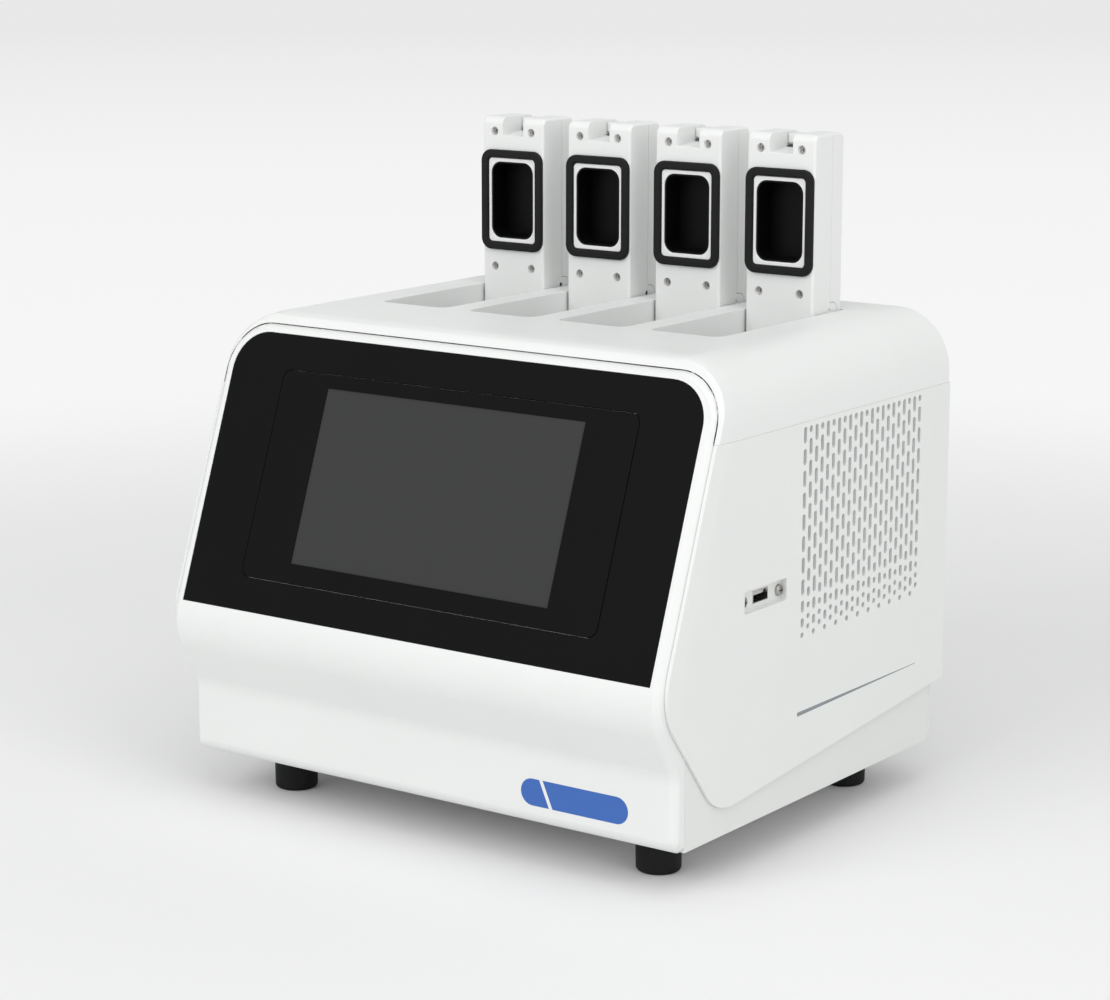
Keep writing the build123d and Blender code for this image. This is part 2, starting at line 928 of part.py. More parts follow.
def make_lid_inner():
    """The lid's inner half: window, seal groove, latch notch and the hinge ear."""
    face = -lid_inner_thickness
    heel = -lid_outer_thickness
    body = lid_block(lid_half, face, 0, heel, lid_tip)
    body = fillet(body.edges().filter_by(Axis.X).group_by(Axis.Z)[-1].sort_by(Axis.Y)[0], lid_tip_radius)
    body = fillet(body.edges().filter_by(Axis.X).group_by(Axis.Z)[0].sort_by(Axis.Y)[0], lid_heel_radius)
    body = chamfer(
        edges_along(body, Axis.Z, lambda c: c.Y < pivot_y + face + 0.1), lid_edge_chamfer
    )
    ear = lid_block(lid_half, 0, ear_reach, 0, ear_height)
    ear = fillet(ear.edges().filter_by(Axis.X).group_by(Axis.Z)[-1].sort_by(Axis.Y)[-1], ear_round)
    body += ear
    body += bar_x(ear_reach, -lid_half, lid_half, pivot_y, pivot_z)
    body -= bar_x(pin_radius + pin_running_gap, -lid_half - 1, lid_half + 1, pivot_y, pivot_z)
    floor = lid_tip - notch_depth
    notch = lid_outline(
        [
            (1, floor), (0, floor), (face, floor - notch_slope),
            (face - 1, floor - notch_slope), (face - 1, lid_tip + 1), (1, lid_tip + 1),
        ]
    )
    body -= extrude(notch, notch_width / 2, both=True)
    return body - lid_face_prism(
        window_width, window_height, window_radius, window_rise, face - 1, 1
    )


def make_lid_outer():
    """The lid's outer half: a capped shell that wraps the hinge ear and guides the latch."""
    shell = lid_outer_thickness
    near = lid_seam
    ear_room = ear_reach + lid_seam
    outline = lid_outline(
        [
            (near, lid_tip), (shell, lid_tip), (shell, -shell), (near, -shell),
            (near, -ear_room), (ear_room, -ear_room), (ear_room, ear_height + lid_seam),
            (near, ear_height + lid_seam),
        ]
    )
    outline = fillet_corner(outline, pivot_y + shell, pivot_z + lid_tip, lid_tip_radius)
    outline = fillet_corner(outline, pivot_y + shell, pivot_z - shell, shell - near - 0.01)
    outline = fillet_corner(outline, pivot_y + ear_room, pivot_z - ear_room, ear_room - near - 0.01)
    outline = fillet_corner(
        outline, pivot_y + ear_room, pivot_z + ear_height + lid_seam, ear_round + lid_seam
    )
    body = extrude(outline, lid_half, both=True)
    body = chamfer(
        edges_along(body, Axis.Z, lambda c: c.Y > pivot_y + shell - 0.1), lid_edge_chamfer
    )
    slot_half = latch_width / 2 + latch_side_gap
    pad_foot = lid_tip - latch_top_drop - latch_pad_length
    body -= lid_block(slot_half, -1, shell + 1, pad_foot - latch_side_gap, lid_tip + 1)
    wing_half = latch_width / 2 + latch_wing + latch_side_gap
    wing_top = pad_foot + latch_wing_rise + latch_wing_length + latch_travel + latch_side_gap
    body -= lid_block(
        wing_half, -1, shell - latch_pad_thickness, pad_foot - latch_side_gap, wing_top
    )
    half_room = lid_board_width / 2 + fit_gap
    middle = window_rise
    room = lid_board_height / 2 + fit_gap
    return body - lid_block(half_room, -1, lid_board_room, middle - room, middle + room)


def make_lid_gasket():
    """The rubber seal on the lid's face, around the window."""
    back = -lid_inner_thickness
    front = back - gasket_proud
    half_x = gasket_outer_width / 2
    half_z = gasket_outer_height / 2
    radius = window_radius + frame_width + gasket_gap + gasket_width
    seal = lid_block(half_x, front, back, window_rise - half_z, window_rise + half_z)
    seal = chamfer(seal.edges().filter_by(Axis.Y), radius * corner_cut)
    half_x -= gasket_width
    half_z -= gasket_width
    hole = lid_block(half_x, front - 1, back + 1, window_rise - half_z, window_rise + half_z)
    return seal - chamfer(hole.edges().filter_by(Axis.Y), (radius - gasket_width) * corner_cut)


def make_lid_heater():
    """The black heated head in the window: a box open towards the samples."""
    front = -lid_inner_thickness + heater_setback
    wide = window_width - 2 * fit_gap
    high = window_height - 2 * fit_gap
    body = lid_block(wide / 2, front, 0, window_rise - high / 2, window_rise + high / 2)
    body = chamfer(body.edges().filter_by(Axis.Y), heater_corner_cut)
    half_x = wide / 2 - heater_wall
    half_z = high / 2 - heater_wall
    hollow = lid_block(
        half_x, front - 1, front + heater_recess, window_rise - half_z, window_rise + half_z
    )
    return body - chamfer(hollow.edges().filter_by(Axis.Y), heater_corner_cut - heater_wall)


def make_lid_board():
    """The board behind the heated head, in the outer half's room."""
    return lid_block(
        lid_board_width / 2, 0, lid_board_thickness,
        window_rise - lid_board_height / 2, window_rise + lid_board_height / 2,
    )


def make_latch_button():
    """The sliding latch: a finger pad, a nose that holds the strike and two guide wings."""
    top = lid_tip - latch_top_drop
    face = lid_outer_thickness - latch_face_drop
    pad_back = lid_outer_thickness - latch_pad_thickness
    half = latch_width / 2
    button = lid_block(half, pad_back, face, top - latch_pad_length, top)
    foot = top - latch_nose_height
    section = lid_outline(
        [
            (lid_seam, top), (pad_back, top), (pad_back, foot),
            (lid_seam + latch_ramp, foot), (lid_seam, foot + latch_ramp),
        ]
    )
    nose = extrude(section, half, both=True)
    nose -= lid_block(
        strike_width / 2 + 1, latch_ledge, pad_back,
        foot - 1, foot + latch_ledge_step,
    )
    button += nose
    wing_foot = top - latch_pad_length + latch_wing_rise
    wings = lid_block(
        half + latch_wing, lid_seam, pad_back - latch_side_gap / 2,
        wing_foot, wing_foot + latch_wing_length,
    )
    wings -= lid_block(
        half - latch_wing, -1, pad_back + 1, wing_foot - 1, wing_foot + latch_wing_length + 1
    )
    button += wings
    bridge = lid_block(
        half - latch_wing, pad_back - latch_wing, pad_back,
        wing_foot, wing_foot + latch_wing_length,
    )
    return button + bridge


def make_strikes():
    """The hooked strike in front of each lid's tip."""
    wall = bay_front_y - pivot_y
    front = strike_blade_gap - (lid_tip - latch_top_drop - latch_nose_height)
    rear = front + strike_blade
    arm_top = -strike_arm_drop
    arm_foot = arm_top - strike_thickness
    lip_foot = latch_ledge + latch_side_gap
    lip_top = lip_foot + strike_lip_height
    section = lid_outline(
        [
            (wall, arm_foot), (rear, arm_foot), (rear, lip_top), (front, lip_top),
            (front - strike_lip, lip_foot + strike_lip_edge), (front - strike_lip, lip_foot),
            (front, lip_foot), (front, arm_top), (wall, arm_top),
        ]
    )
    strike = extrude(section, strike_width / 2, both=True)
    strike += lid_block(
        strike_plate_width / 2,
        wall,
        wall + strike_thickness,
        arm_foot - strike_plate_height / 2,
        arm_foot + strike_plate_height / 2,
    )
    return [Pos(x, 0, 0) * strike for x in bay_x]


def make_board():
    """The control board above the floor."""
    z = floor_top_z + standoff_height
    return block(
        -board_width / 2, board_width / 2, board_y - board_length / 2, board_y + board_length / 2,
        z, z + board_thickness,
    )


def make_standoffs():
    """Four hexagonal posts under the control board."""
    inset = 2 * standoff_radius
    return [
        Pos(x * (board_width / 2 - inset), board_y + y * (board_length / 2 - inset), floor_top_z)
        * extrude(RegularPolygon(standoff_radius, 6), standoff_height)
        for x in (-1, 1)
        for y in (-1, 1)
    ]


def make_supply():
    """The power supply in its folded case."""
    return block(
        supply_x - supply_width / 2, supply_x + supply_width / 2,
        supply_y - supply_length / 2, supply_y + supply_length / 2,
        floor_top_z, floor_top_z + supply_height,
    )


def make_fan_frame():
    """A square fan frame with a round bore, a motor seat and four struts."""
    half = fan_size / 2
    y0 = rear_inner_y - fan_depth
    frame = block(-half, half, y0, rear_inner_y, fan_z - half, fan_z + half)
    frame = chamfer(frame.edges().filter_by(Axis.Y), fan_corner_cut)
    frame -= bar_y(fan_bore_radius, y0 - 1, rear_inner_y + 1, 0, fan_z)
    strut_y = rear_inner_y - fan_strut_depth
    reach = fan_bore_radius + 1
    strut = fan_strut_width / 2
    frame += block(-strut, strut, strut_y, rear_inner_y, fan_z - reach, fan_z + reach)
    frame += block(-reach, reach, strut_y, rear_inner_y, fan_z - strut, fan_z + strut)
    frame += bar_y(fan_hub_radius, strut_y, rear_inner_y, 0, fan_z)
    return frame + bar_y(pin_radius, y0 + fan_strut_depth, strut_y, 0, fan_z)


def make_fan_rotor():
    """A hub with pitched blades that turns on the frame's pin."""
    y0 = rear_inner_y - fan_depth + fan_blade_gap
    y1 = rear_inner_y - fan_strut_depth - fit_gap
    hub = bar_y(fan_hub_radius, y0, y1, 0, fan_z)
    chord = (y1 - y0) / cos(radians(fan_blade_pitch)) - fan_blade_thickness
    sweep = chord / 2 * sin(radians(fan_blade_pitch)) + fan_blade_thickness
    reach = ((fan_bore_radius - fan_blade_gap) ** 2 - sweep**2) ** 0.5
    root = fan_hub_radius - fan_blade_root
    blade = Pos(0, 0, (root + reach) / 2) * Rot(0, 0, fan_blade_pitch) * Box(
        fan_blade_thickness, chord, reach - root
    )
    for i in range(fan_blade_count):
        hub += Pos(0, (y0 + y1) / 2, fan_z) * Rot(0, 360 / fan_blade_count * i, 0) * blade
    return hub - bar_y(pin_radius + pin_running_gap, y0 - 1, y1 + 1, 0, fan_z)


def make_power_inlet():
    """The mains inlet: a flanged body with a cavity and three flat pins."""
    z = base_z + inlet_rise
    back = core_rear_y - inlet_body_depth
    body = block(
        inlet_x - inlet_body_width / 2, inlet_x + inlet_body_width / 2, back, core_rear_y,
        z - inlet_body_height / 2, z + inlet_body_height / 2,
    )
    body += block(
        inlet_x - inlet_flange_width / 2, inlet_x + inlet_flange_width / 2,
        core_rear_y, core_rear_y + inlet_flange_thickness,
        z - inlet_flange_height / 2, z + inlet_flange_height / 2,
    )
    mouth = core_rear_y + inlet_flange_thickness
    cavity = block(
        inlet_x - inlet_cavity_width / 2, inlet_x + inlet_cavity_width / 2,
        mouth - inlet_cavity_depth, mouth + 1,
        z - inlet_cavity_height / 2, z + inlet_cavity_height / 2,
    )
    upper = edges_along(cavity, Axis.Y, lambda c: c.Z > z)
    body -= chamfer(upper, inlet_cavity_height / 4)
    floor = mouth - inlet_cavity_depth
    for offset, rise in ((-inlet_pin_spread, -2), (0, 2), (inlet_pin_spread, -2)):
        body += block(
            inlet_x + offset - inlet_pin_thickness / 2, inlet_x + offset + inlet_pin_thickness / 2,
            floor - 1, floor + inlet_pin_length,
            z + rise - inlet_pin_width / 2, z + rise + inlet_pin_width / 2,
        )
    return body


def make_switch_body():
    """The power switch's body with its well and the rocker's pin."""
    z = base_z + inlet_rise
    half_x = switch_width / 2
    half_z = switch_height / 2
    flange_y = core_rear_y + switch_flange_thickness
    body = block(
        switch_x - half_x, switch_x + half_x, core_rear_y, flange_y, z - half_z, z + half_z
    )
    body += block(
        switch_x - half_x + switch_flange, switch_x + half_x - switch_flange,
        core_rear_y - switch_depth, core_rear_y,
        z - half_z + switch_flange, z + half_z - switch_flange,
    )
    well = rocker_radius + seal_gap
    reach = rocker_width / 2 + fit_gap
    body -= block(
        switch_x - reach, switch_x + reach,
        core_rear_y - switch_depth + switch_flange, flange_y + 1, z - well, z + well,
    )
    return body + bar_x(
        rocker_pin_radius, switch_x - reach, switch_x + reach, core_rear_y - rocker_pin_depth, z
    )


def make_rocker():
    """The switch's rocker with ends round its pin, resting with its lower half pressed in."""
    half = (rocker_radius**2 - rocker_rim**2) ** 0.5
    sides = Plane.YZ * make_face(
        Polyline((rocker_rim, half), (rocker_crown, 0), (rocker_rim, -half))
        + RadiusArc((rocker_rim, -half), (-rocker_rim, -half), -rocker_radius)
        + Line((-rocker_rim, -half), (-rocker_rim, half))
        + RadiusArc((-rocker_rim, half), (rocker_rim, half), -rocker_radius)
    )
    solid = extrude(sides, rocker_width / 2, both=True)
    solid -= bar_x(rocker_pin_radius + rocker_bore_gap, -rocker_width, rocker_width, 0, 0)
    place = Pos(switch_x, core_rear_y - rocker_pin_depth, base_z + inlet_rise)
    return place * Rot(-rocker_tilt, 0, 0) * solid


def save(name, shape):
    """Write one node's solids to its STEP file."""
    if isinstance(shape, list):
        shape = Compound(children=[s for part in shape for s in part.solids()])
    export_step(shape, f"parts/{name}.step")


def main():
    os.makedirs("parts", exist_ok=True)
    save("front_fascia", make_fascia())
    save("display_surround", make_surround())
    save("touch_bezel", make_bezel())
    save("touch_screen", make_screen())
    save("lcd_module", make_lcd())
    save("top_cover", make_cover())
    save("right_side_panel", make_right_panel())
    save("left_side_panel", make_left_panel())
    save("base_chassis", make_chassis())
    save("rear_panel", make_rear_panel())
    save("feet", make_feet())
    save("usb_bracket", make_usb_bracket())
    save("usb_socket", make_usb_socket())
    save("bay_deck", make_deck())
    save("peltiers", make_peltiers())
    save("heat_sinks", make_heat_sinks())
    save("module_plate", make_module_plate())
    save("hinge_posts", make_hinge_posts())
    save("hinge_rod", make_hinge_rod())
    save("latch_strikes", make_strikes())
    save("control_board", make_board())
    save("board_standoffs", make_standoffs())
    save("power_supply", make_supply())
    save("power_inlet", make_power_inlet())
    save("switch_body", make_switch_body())
    save("power_rocker", make_rocker())
    save("fan_frame", make_fan_frame())
    save("fan_rotor", make_fan_rotor())
    for name, side in (("left", -1), ("right", 1)):
        save(f"frame_cheek_{name}", make_cheek(side))
    makers = {
        "sample_block": make_sample_block(),
        "lid_inner": make_lid_inner(),
        "lid_outer": make_lid_outer(),
        "lid_gasket": make_lid_gasket(),
        "lid_heater": make_lid_heater(),
        "lid_board": make_lid_board(),
        "latch_button": make_latch_button(),
    }
    for number, x in enumerate(bay_x, start=1):
        for name, solid in makers.items():
            save(f"{name}_{number}", Pos(x, 0, 0) * solid)


main()
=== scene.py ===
"""Dresses the bench real-time PCR machine: mouldings, lids, display, vents, fittings, prints and studio.

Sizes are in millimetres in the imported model's own frame. They become metres when a piece is finished.
"""

import logging
from dataclasses import dataclass
from enum import Enum
from math import cos, pi, radians, sin, tan
from typing import Callable, Iterable, Iterator, Optional, Sequence

import bmesh
import bpy
from mathutils import Matrix, Vector


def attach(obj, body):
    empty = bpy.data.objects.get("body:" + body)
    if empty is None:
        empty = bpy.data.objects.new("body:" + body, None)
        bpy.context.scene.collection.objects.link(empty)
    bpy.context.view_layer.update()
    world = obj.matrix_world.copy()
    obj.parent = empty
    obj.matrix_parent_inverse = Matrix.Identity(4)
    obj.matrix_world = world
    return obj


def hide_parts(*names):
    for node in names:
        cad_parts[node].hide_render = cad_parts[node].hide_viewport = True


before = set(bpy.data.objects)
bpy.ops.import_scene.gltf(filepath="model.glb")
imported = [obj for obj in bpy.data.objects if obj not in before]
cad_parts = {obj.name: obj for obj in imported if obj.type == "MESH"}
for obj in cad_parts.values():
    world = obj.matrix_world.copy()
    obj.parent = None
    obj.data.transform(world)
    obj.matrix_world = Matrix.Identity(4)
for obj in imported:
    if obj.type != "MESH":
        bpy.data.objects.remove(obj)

log = logging.getLogger("pcr_machine")
MM = 0.001
MACHINE = "machine"
LIDS = range(1, 5)
Point = tuple[float, float, float]


class Side(Enum):
    """The two sides of the machine, as the sign of X."""

    LEFT = -1
    RIGHT = 1


class Axis(Enum):
    """A direction of the model's frame."""

    X = (1.0, 0.0, 0.0)
    Y = (0.0, 1.0, 0.0)
    Z = (0.0, 0.0, 1.0)

    @property
    def vector(self) -> Vector:
        """The direction as a vector."""
        return Vector(self.value)


# Finishes


class Shader:
    """Adds and joins the nodes of one shader tree."""

    def __init__(self, tree: bpy.types.NodeTree) -> None:
        """Keeps the tree that the nodes go into.

        Args:
            tree: The material's or the group's node tree.
        """
        self.tree = tree

    def add(self, kind: str, **values: object) -> bpy.types.Node:
        """Adds a node and sets its properties or its input sockets by name.

        Args:
            kind: The node's type name.
            **values: Settings, with spaces in a socket's name written as underscores.

        Returns:
            The new node.
        """
        node = self.tree.nodes.new(kind)
        for key, value in values.items():
            if hasattr(node, key):
                setattr(node, key, value)
            else:
                node.inputs[key.replace("_", " ")].default_value = value
        return node

    def join(self, source: bpy.types.NodeSocket, target: bpy.types.NodeSocket) -> None:
        """Links one output to one input."""
        self.tree.links.new(source, target)

    def math(self, operation: str, first: object, second: object = None) -> bpy.types.NodeSocket:
        """Adds one math step.

        Args:
            operation: The math node's operation.
            first: A socket or a number.
            second: A socket, a number or None.

        Returns:
            The step's output socket.
        """
        node = self.add("ShaderNodeMath", operation=operation)
        for index, value in enumerate((first, second)):
            if isinstance(value, bpy.types.NodeSocket):
                self.join(value, node.inputs[index])
            elif value is not None:
                node.inputs[index].default_value = value
        return node.outputs[0]


def new_group(name: str, inputs: dict[str, float]) -> bpy.types.NodeTree:
    """Starts a texture group with number inputs and the outputs Height and Tone.

    Args:
        name: The group's name.
        inputs: Each input with its default value.

    Returns:
        The empty group with its input and output nodes.
    """
    group = bpy.data.node_groups.new(name, "ShaderNodeTree")
    for label, value in inputs.items():
        socket = group.interface.new_socket(label, in_out="INPUT", socket_type="NodeSocketFloat")
        socket.default_value = value
    for label in ("Height", "Tone"):
        group.interface.new_socket(label, in_out="OUTPUT", socket_type="NodeSocketFloat")
    group.nodes.new("NodeGroupInput")
    group.nodes.new("NodeGroupOutput")
    return group


def grain_group() -> bpy.types.NodeTree:
    """Makes the fine texture of a moulded or coated skin.

    Returns:
        A group with the inputs Size, in metres, and Speckle, and the outputs Height and Tone.
    """
    group = new_group("skin_grain", {"Size": 0.0005, "Speckle": 0.5})
    shader = Shader(group)
    given = group.nodes["Group Input"].outputs
    place = shader.add("ShaderNodeTexCoord")
    scale = shader.math("DIVIDE", 1.0, given["Size"])
    fine = shader.add("ShaderNodeTexNoise", Detail=2.0, Roughness=0.55)
    shader.join(place.outputs["Object"], fine.inputs["Vector"])
    shader.join(scale, fine.inputs["Scale"])
    coarse = shader.add("ShaderNodeTexNoise", Scale=16.0, Detail=3.0, Roughness=0.6)
    shader.join(place.outputs["Object"], coarse.inputs["Vector"])
    pits = shader.add("ShaderNodeTexVoronoi")
    shader.join(place.outputs["Object"], pits.inputs["Vector"])
    shader.join(shader.math("MULTIPLY", scale, 0.6), pits.inputs["Scale"])
    raised = shader.math("MULTIPLY", pits.outputs["Distance"], given["Speckle"])
    out = group.nodes["Group Output"].inputs
    shader.join(shader.math("ADD", fine.outputs[0], raised), out["Height"])
    shader.join(coarse.outputs[0], out["Tone"])
    return group


def brushed_group() -> bpy.types.NodeTree:
    """Makes the fine straight lines that milling or rolling leaves on metal.

    Returns:
        A group with the inputs Size, Along X, Along Y and Along Z, and the outputs Height and Tone.
    """
    group = new_group("drawn_lines", {"Size": 0.0004, "Along X": 1.0, "Along Y": 1.0, "Along Z": 1.0})
    shader = Shader(group)
    given = group.nodes["Group Input"].outputs
    place = shader.add("ShaderNodeTexCoord")
    stretch = shader.add("ShaderNodeCombineXYZ")
    for index, label in enumerate(("Along X", "Along Y", "Along Z")):
        shader.join(given[label], stretch.inputs[index])
    scaled = shader.add("ShaderNodeVectorMath", operation="MULTIPLY")
    shader.join(place.outputs["Object"], scaled.inputs[0])
    shader.join(stretch.outputs[0], scaled.inputs[1])
    lines = shader.add("ShaderNodeTexNoise", Detail=4.0, Roughness=0.7)
    shader.join(scaled.outputs[0], lines.inputs["Vector"])
    shader.join(shader.math("DIVIDE", 1.0, given["Size"]), lines.inputs["Scale"])
    out = group.nodes["Group Output"].inputs
    shader.join(lines.outputs[0], out["Height"])
    shader.join(lines.outputs[0], out["Tone"])
    return group


GROUPS: dict[str, bpy.types.NodeTree] = {}


def shared(maker: Callable[[], bpy.types.NodeTree]) -> bpy.types.NodeTree:
    """Gives a shared node group, built at its first use."""
    if maker.__name__ not in GROUPS:
        GROUPS[maker.__name__] = maker()
    return GROUPS[maker.__name__]


@dataclass(frozen=True)
class Finish:
    """A surface finish of one material.

    Attributes:
        name: The material's name.
        colour: Linear base colour.
        dark: How much darker the base colour gets in its darker patches, from 0 to 1.
        roughness: Mean roughness.
        rough_spread: Change of roughness over the surface.
        metallic: 0 for plastic and paint, 1 for bare metal.
        specular: The shader's specular level.
        coat: Weight of a clear coat.
        coat_roughness: Roughness of that coat.
        grain: Size of the fine texture, in millimetres.
        depth: Height of the fine texture, in millimetres.
        speckle: How much of the texture is round pits.
        drawn: Stretch of the texture along X, Y and Z for drawn or milled metal, or None.
    """

    name: str
    colour: Point
    dark: float = 0.03
    roughness: float = 0.5
    rough_spread: float = 0.08
    metallic: float = 0.0
    specular: float = 0.5
    coat: float = 0.0
    coat_roughness: float = 0.1
    grain: float = 0.5
    depth: float = 0.01
    speckle: float = 0.4
    drawn: Optional[Point] = None

    def material(self) -> bpy.types.Material:
        """Gives the finish's material, built at its first use.

        Returns:
            The material with its procedural nodes.
        """
        if self in MATERIALS:
            return MATERIALS[self]
        material = bpy.data.materials.new(self.name)
        MATERIALS[self] = material
        material.use_nodes = True
        material.diffuse_color = (*self.colour, 1.0)
        shader = Shader(material.node_tree)
        skin = material.node_tree.nodes["Principled BSDF"]
        self.set_constants(skin)
        texture = self.texture(shader)
        self.join_colour(shader, texture, skin)
        self.join_roughness(shader, texture, skin)
        bump = shader.add("ShaderNodeBump", Strength=1.0, Distance=self.depth * MM)
        shader.join(texture.outputs["Height"], bump.inputs["Height"])
        shader.join(bump.outputs[0], skin.inputs["Normal"])
        return material

    def set_constants(self, skin: bpy.types.Node) -> None:
        """Sets what is the same all over the surface on the shader's own sockets."""
        skin.inputs["Metallic"].default_value = self.metallic
        skin.inputs["Specular IOR Level"].default_value = self.specular
        skin.inputs["Coat Weight"].default_value = self.coat
        skin.inputs["Coat Roughness"].default_value = self.coat_roughness

    def texture(self, shader: Shader) -> bpy.types.Node:
        """Places the shared texture group in the material.

        Args:
            shader: The material's tree.

        Returns:
            The group's node, with the outputs Height and Tone.
        """
        if self.drawn is None:
            node = shader.add("ShaderNodeGroup", node_tree=shared(grain_group))
            node.inputs["Speckle"].default_value = self.speckle
        else:
            node = shader.add("ShaderNodeGroup", node_tree=shared(brushed_group))
            for label, value in zip(("Along X", "Along Y", "Along Z"), self.drawn):
                node.inputs[label].default_value = value
        node.inputs["Size"].default_value = self.grain * MM
        return node

    def join_colour(self, shader: Shader, texture: bpy.types.Node, skin: bpy.types.Node) -> None:
        """Varies the base colour slightly with the texture's tone."""
        ramp = shader.add("ShaderNodeValToRGB")
        darker = tuple(value * (1.0 - self.dark) for value in self.colour)
        ramp.color_ramp.elements[0].position = 0.3
        ramp.color_ramp.elements[0].color = (*darker, 1.0)
        ramp.color_ramp.elements[1].position = 0.7
        ramp.color_ramp.elements[1].color = (*self.colour, 1.0)
        shader.join(texture.outputs["Tone"], ramp.inputs[0])
        shader.join(ramp.outputs[0], skin.inputs["Base Color"])

    def join_roughness(self, shader: Shader, texture: bpy.types.Node, skin: bpy.types.Node) -> None:
        """Varies the roughness with the texture's tone."""
        spread = shader.add("ShaderNodeMapRange")
        spread.inputs["From Min"].default_value = 0.3
        spread.inputs["From Max"].default_value = 0.7
        spread.inputs["To Min"].default_value = self.roughness - self.rough_spread / 2
        spread.inputs["To Max"].default_value = self.roughness + self.rough_spread / 2
        shader.join(texture.outputs["Tone"], spread.inputs["Value"])
        shader.join(spread.outputs[0], skin.inputs["Roughness"])


MATERIALS: dict[Finish, bpy.types.Material] = {}

WHITE_MOULDING = Finish("white_moulding", (0.80, 0.805, 0.80), dark=0.015, roughness=0.42, grain=0.45,
                        depth=0.006, specular=0.45)
WHITE_COAT = Finish("white_powder_coat", (0.79, 0.80, 0.79), dark=0.02, roughness=0.5, grain=0.7,
                    depth=0.014, speckle=0.8, specular=0.4)
WHITE_METAL = Finish("white_painted_sheet", (0.76, 0.765, 0.755), dark=0.02, roughness=0.5, grain=0.7,
                     depth=0.012, speckle=0.8, specular=0.4)
GREY_METAL = Finish("zinc_plated_sheet", (0.55, 0.56, 0.57), dark=0.2, roughness=0.42, rough_spread=0.2,
                    metallic=1.0, grain=1.6, depth=0.004)
BLACK_PANEL = Finish("black_satin_panel", (0.0062, 0.0062, 0.0064), dark=0.1, roughness=0.5, grain=0.35,
                     depth=0.004, specular=0.05)
BEZEL_BLACK = Finish("black_bezel", (0.006, 0.006, 0.0062), dark=0.1, roughness=0.46, grain=0.3,
                     depth=0.003, specular=0.05)
SCREEN_GLASS = Finish("touch_glass", (0.044, 0.044, 0.0455), dark=0.02, roughness=0.2, rough_spread=0.03,
                      specular=0.12, grain=2.5, depth=0.0008, speckle=0.0)
LCD_DARK = Finish("display_module", (0.03, 0.032, 0.036), roughness=0.4, metallic=0.3)
RUBBER = Finish("moulded_rubber", (0.009, 0.009, 0.0094), dark=0.15, roughness=0.62, grain=0.25, depth=0.012,
                specular=0.2)
STEEL = Finish("ground_steel", (0.58, 0.575, 0.56), dark=0.12, roughness=0.26, rough_spread=0.12,
               metallic=1.0, grain=0.35, depth=0.002, drawn=(0.08, 1.0, 1.0))
SCREW_STEEL = Finish("screw_steel", (0.5, 0.49, 0.47), dark=0.25, roughness=0.3, rough_spread=0.16,
                     metallic=1.0, grain=0.4, depth=0.004)
# Near-black brown of the lid pins' sunk ends: painted shade that stands in for the depth of the pin holes.
PIN_SHADE_BLACK = Finish("painted_shade_pin_black", (0.03, 0.024, 0.021), dark=0.3, roughness=0.4, rough_spread=0.2,
                     metallic=0.7, grain=0.4, depth=0.004)
ALUMINIUM = Finish("milled_aluminium", (0.74, 0.745, 0.75), dark=0.12, roughness=0.32, rough_spread=0.14,
                   metallic=1.0, grain=0.4, depth=0.003, drawn=(1.0, 0.06, 1.0))
BLACK_ALUMINIUM = Finish("black_anodised", (0.003, 0.003, 0.0032), dark=0.2, roughness=0.4, grain=0.3,
                         depth=0.005, specular=0.12)
CERAMIC = Finish("white_ceramic", (0.72, 0.71, 0.68), roughness=0.6, grain=0.4)
BOARD_GREEN = Finish("green_laminate", (0.012, 0.075, 0.03), dark=0.4, roughness=0.35, grain=1.2, depth=0.02,
                     coat=0.4)
BLACK_PLASTIC = Finish("black_moulding", (0.014, 0.014, 0.015), dark=0.15, roughness=0.45, grain=0.4,
                       specular=0.35)
BLUE_PRINT = Finish("blue_print", (0.03, 0.125, 0.45), dark=0.02, roughness=0.4, grain=0.3, depth=0.002)
WHITE_PRINT = Finish("white_print", (0.82, 0.82, 0.82), dark=0.01, roughness=0.42, grain=0.3, depth=0.002)
GREY_PRINT = Finish("grey_print", (0.225, 0.255, 0.272), roughness=0.42, grain=0.3, depth=0.002)


# Making meshes

# Vertices closer than these, in millimetres, become one: in CAD copies, in turned forms and after a cut.
NODE_WELD = 0.002
TURNED_WELD = 0.0005
CUT_WELD = 0.001
# Faces of a CAD copy that turn by less than this, in degrees, are merged.
FLAT_TURN = 0.5
# Edges of a CAD copy that turn by more than this, in degrees, are rounded where no other turn is given.
SHARP_TURN = 35.0
# How far a cutter reaches past the faces it cuts, in millimetres.
OVERSHOOT = 1.0


def node_copy(node: str) -> bmesh.types.BMesh:
    """Copies a CAD node's mesh in millimetres, with its loose triangles merged into whole faces.

    Args:
        node: The CAD node's name.

    Returns:
        The copy.
    """
    bm = bmesh.new()
    bm.from_mesh(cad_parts[node].data)
    bmesh.ops.scale(bm, vec=(1 / MM,) * 3, verts=bm.verts)
    bmesh.ops.remove_doubles(bm, verts=bm.verts, dist=NODE_WELD)
    bmesh.ops.dissolve_limit(bm, angle_limit=radians(FLAT_TURN), verts=bm.verts, edges=bm.edges)
    return bm


def round_edges(bm: bmesh.types.BMesh, width: float, steps: int, edges: Iterable[bmesh.types.BMEdge],
                ) -> None:
    """Rounds some edges.

    Args:
        bm: The mesh.
        width: Distance of the new edges from the old one.
        steps: Faces across each rounded edge.
        edges: The edges to round.
    """
    chosen = [edge for edge in edges if edge.is_manifold]
    if chosen:
        bmesh.ops.bevel(bm, geom=chosen, offset=width, offset_type="OFFSET", segments=steps, profile=0.5,
                        affect="EDGES", clamp_overlap=False, material=-1)


def sharp_edges(bm: bmesh.types.BMesh, least: float, most: float = 180.0) -> list[bmesh.types.BMEdge]:
    """Finds the edges that turn by an angle in a range of degrees."""
    return [
        edge for edge in bm.edges
        if edge.is_manifold and radians(least) < edge.calc_face_angle() < radians(most)
    ]


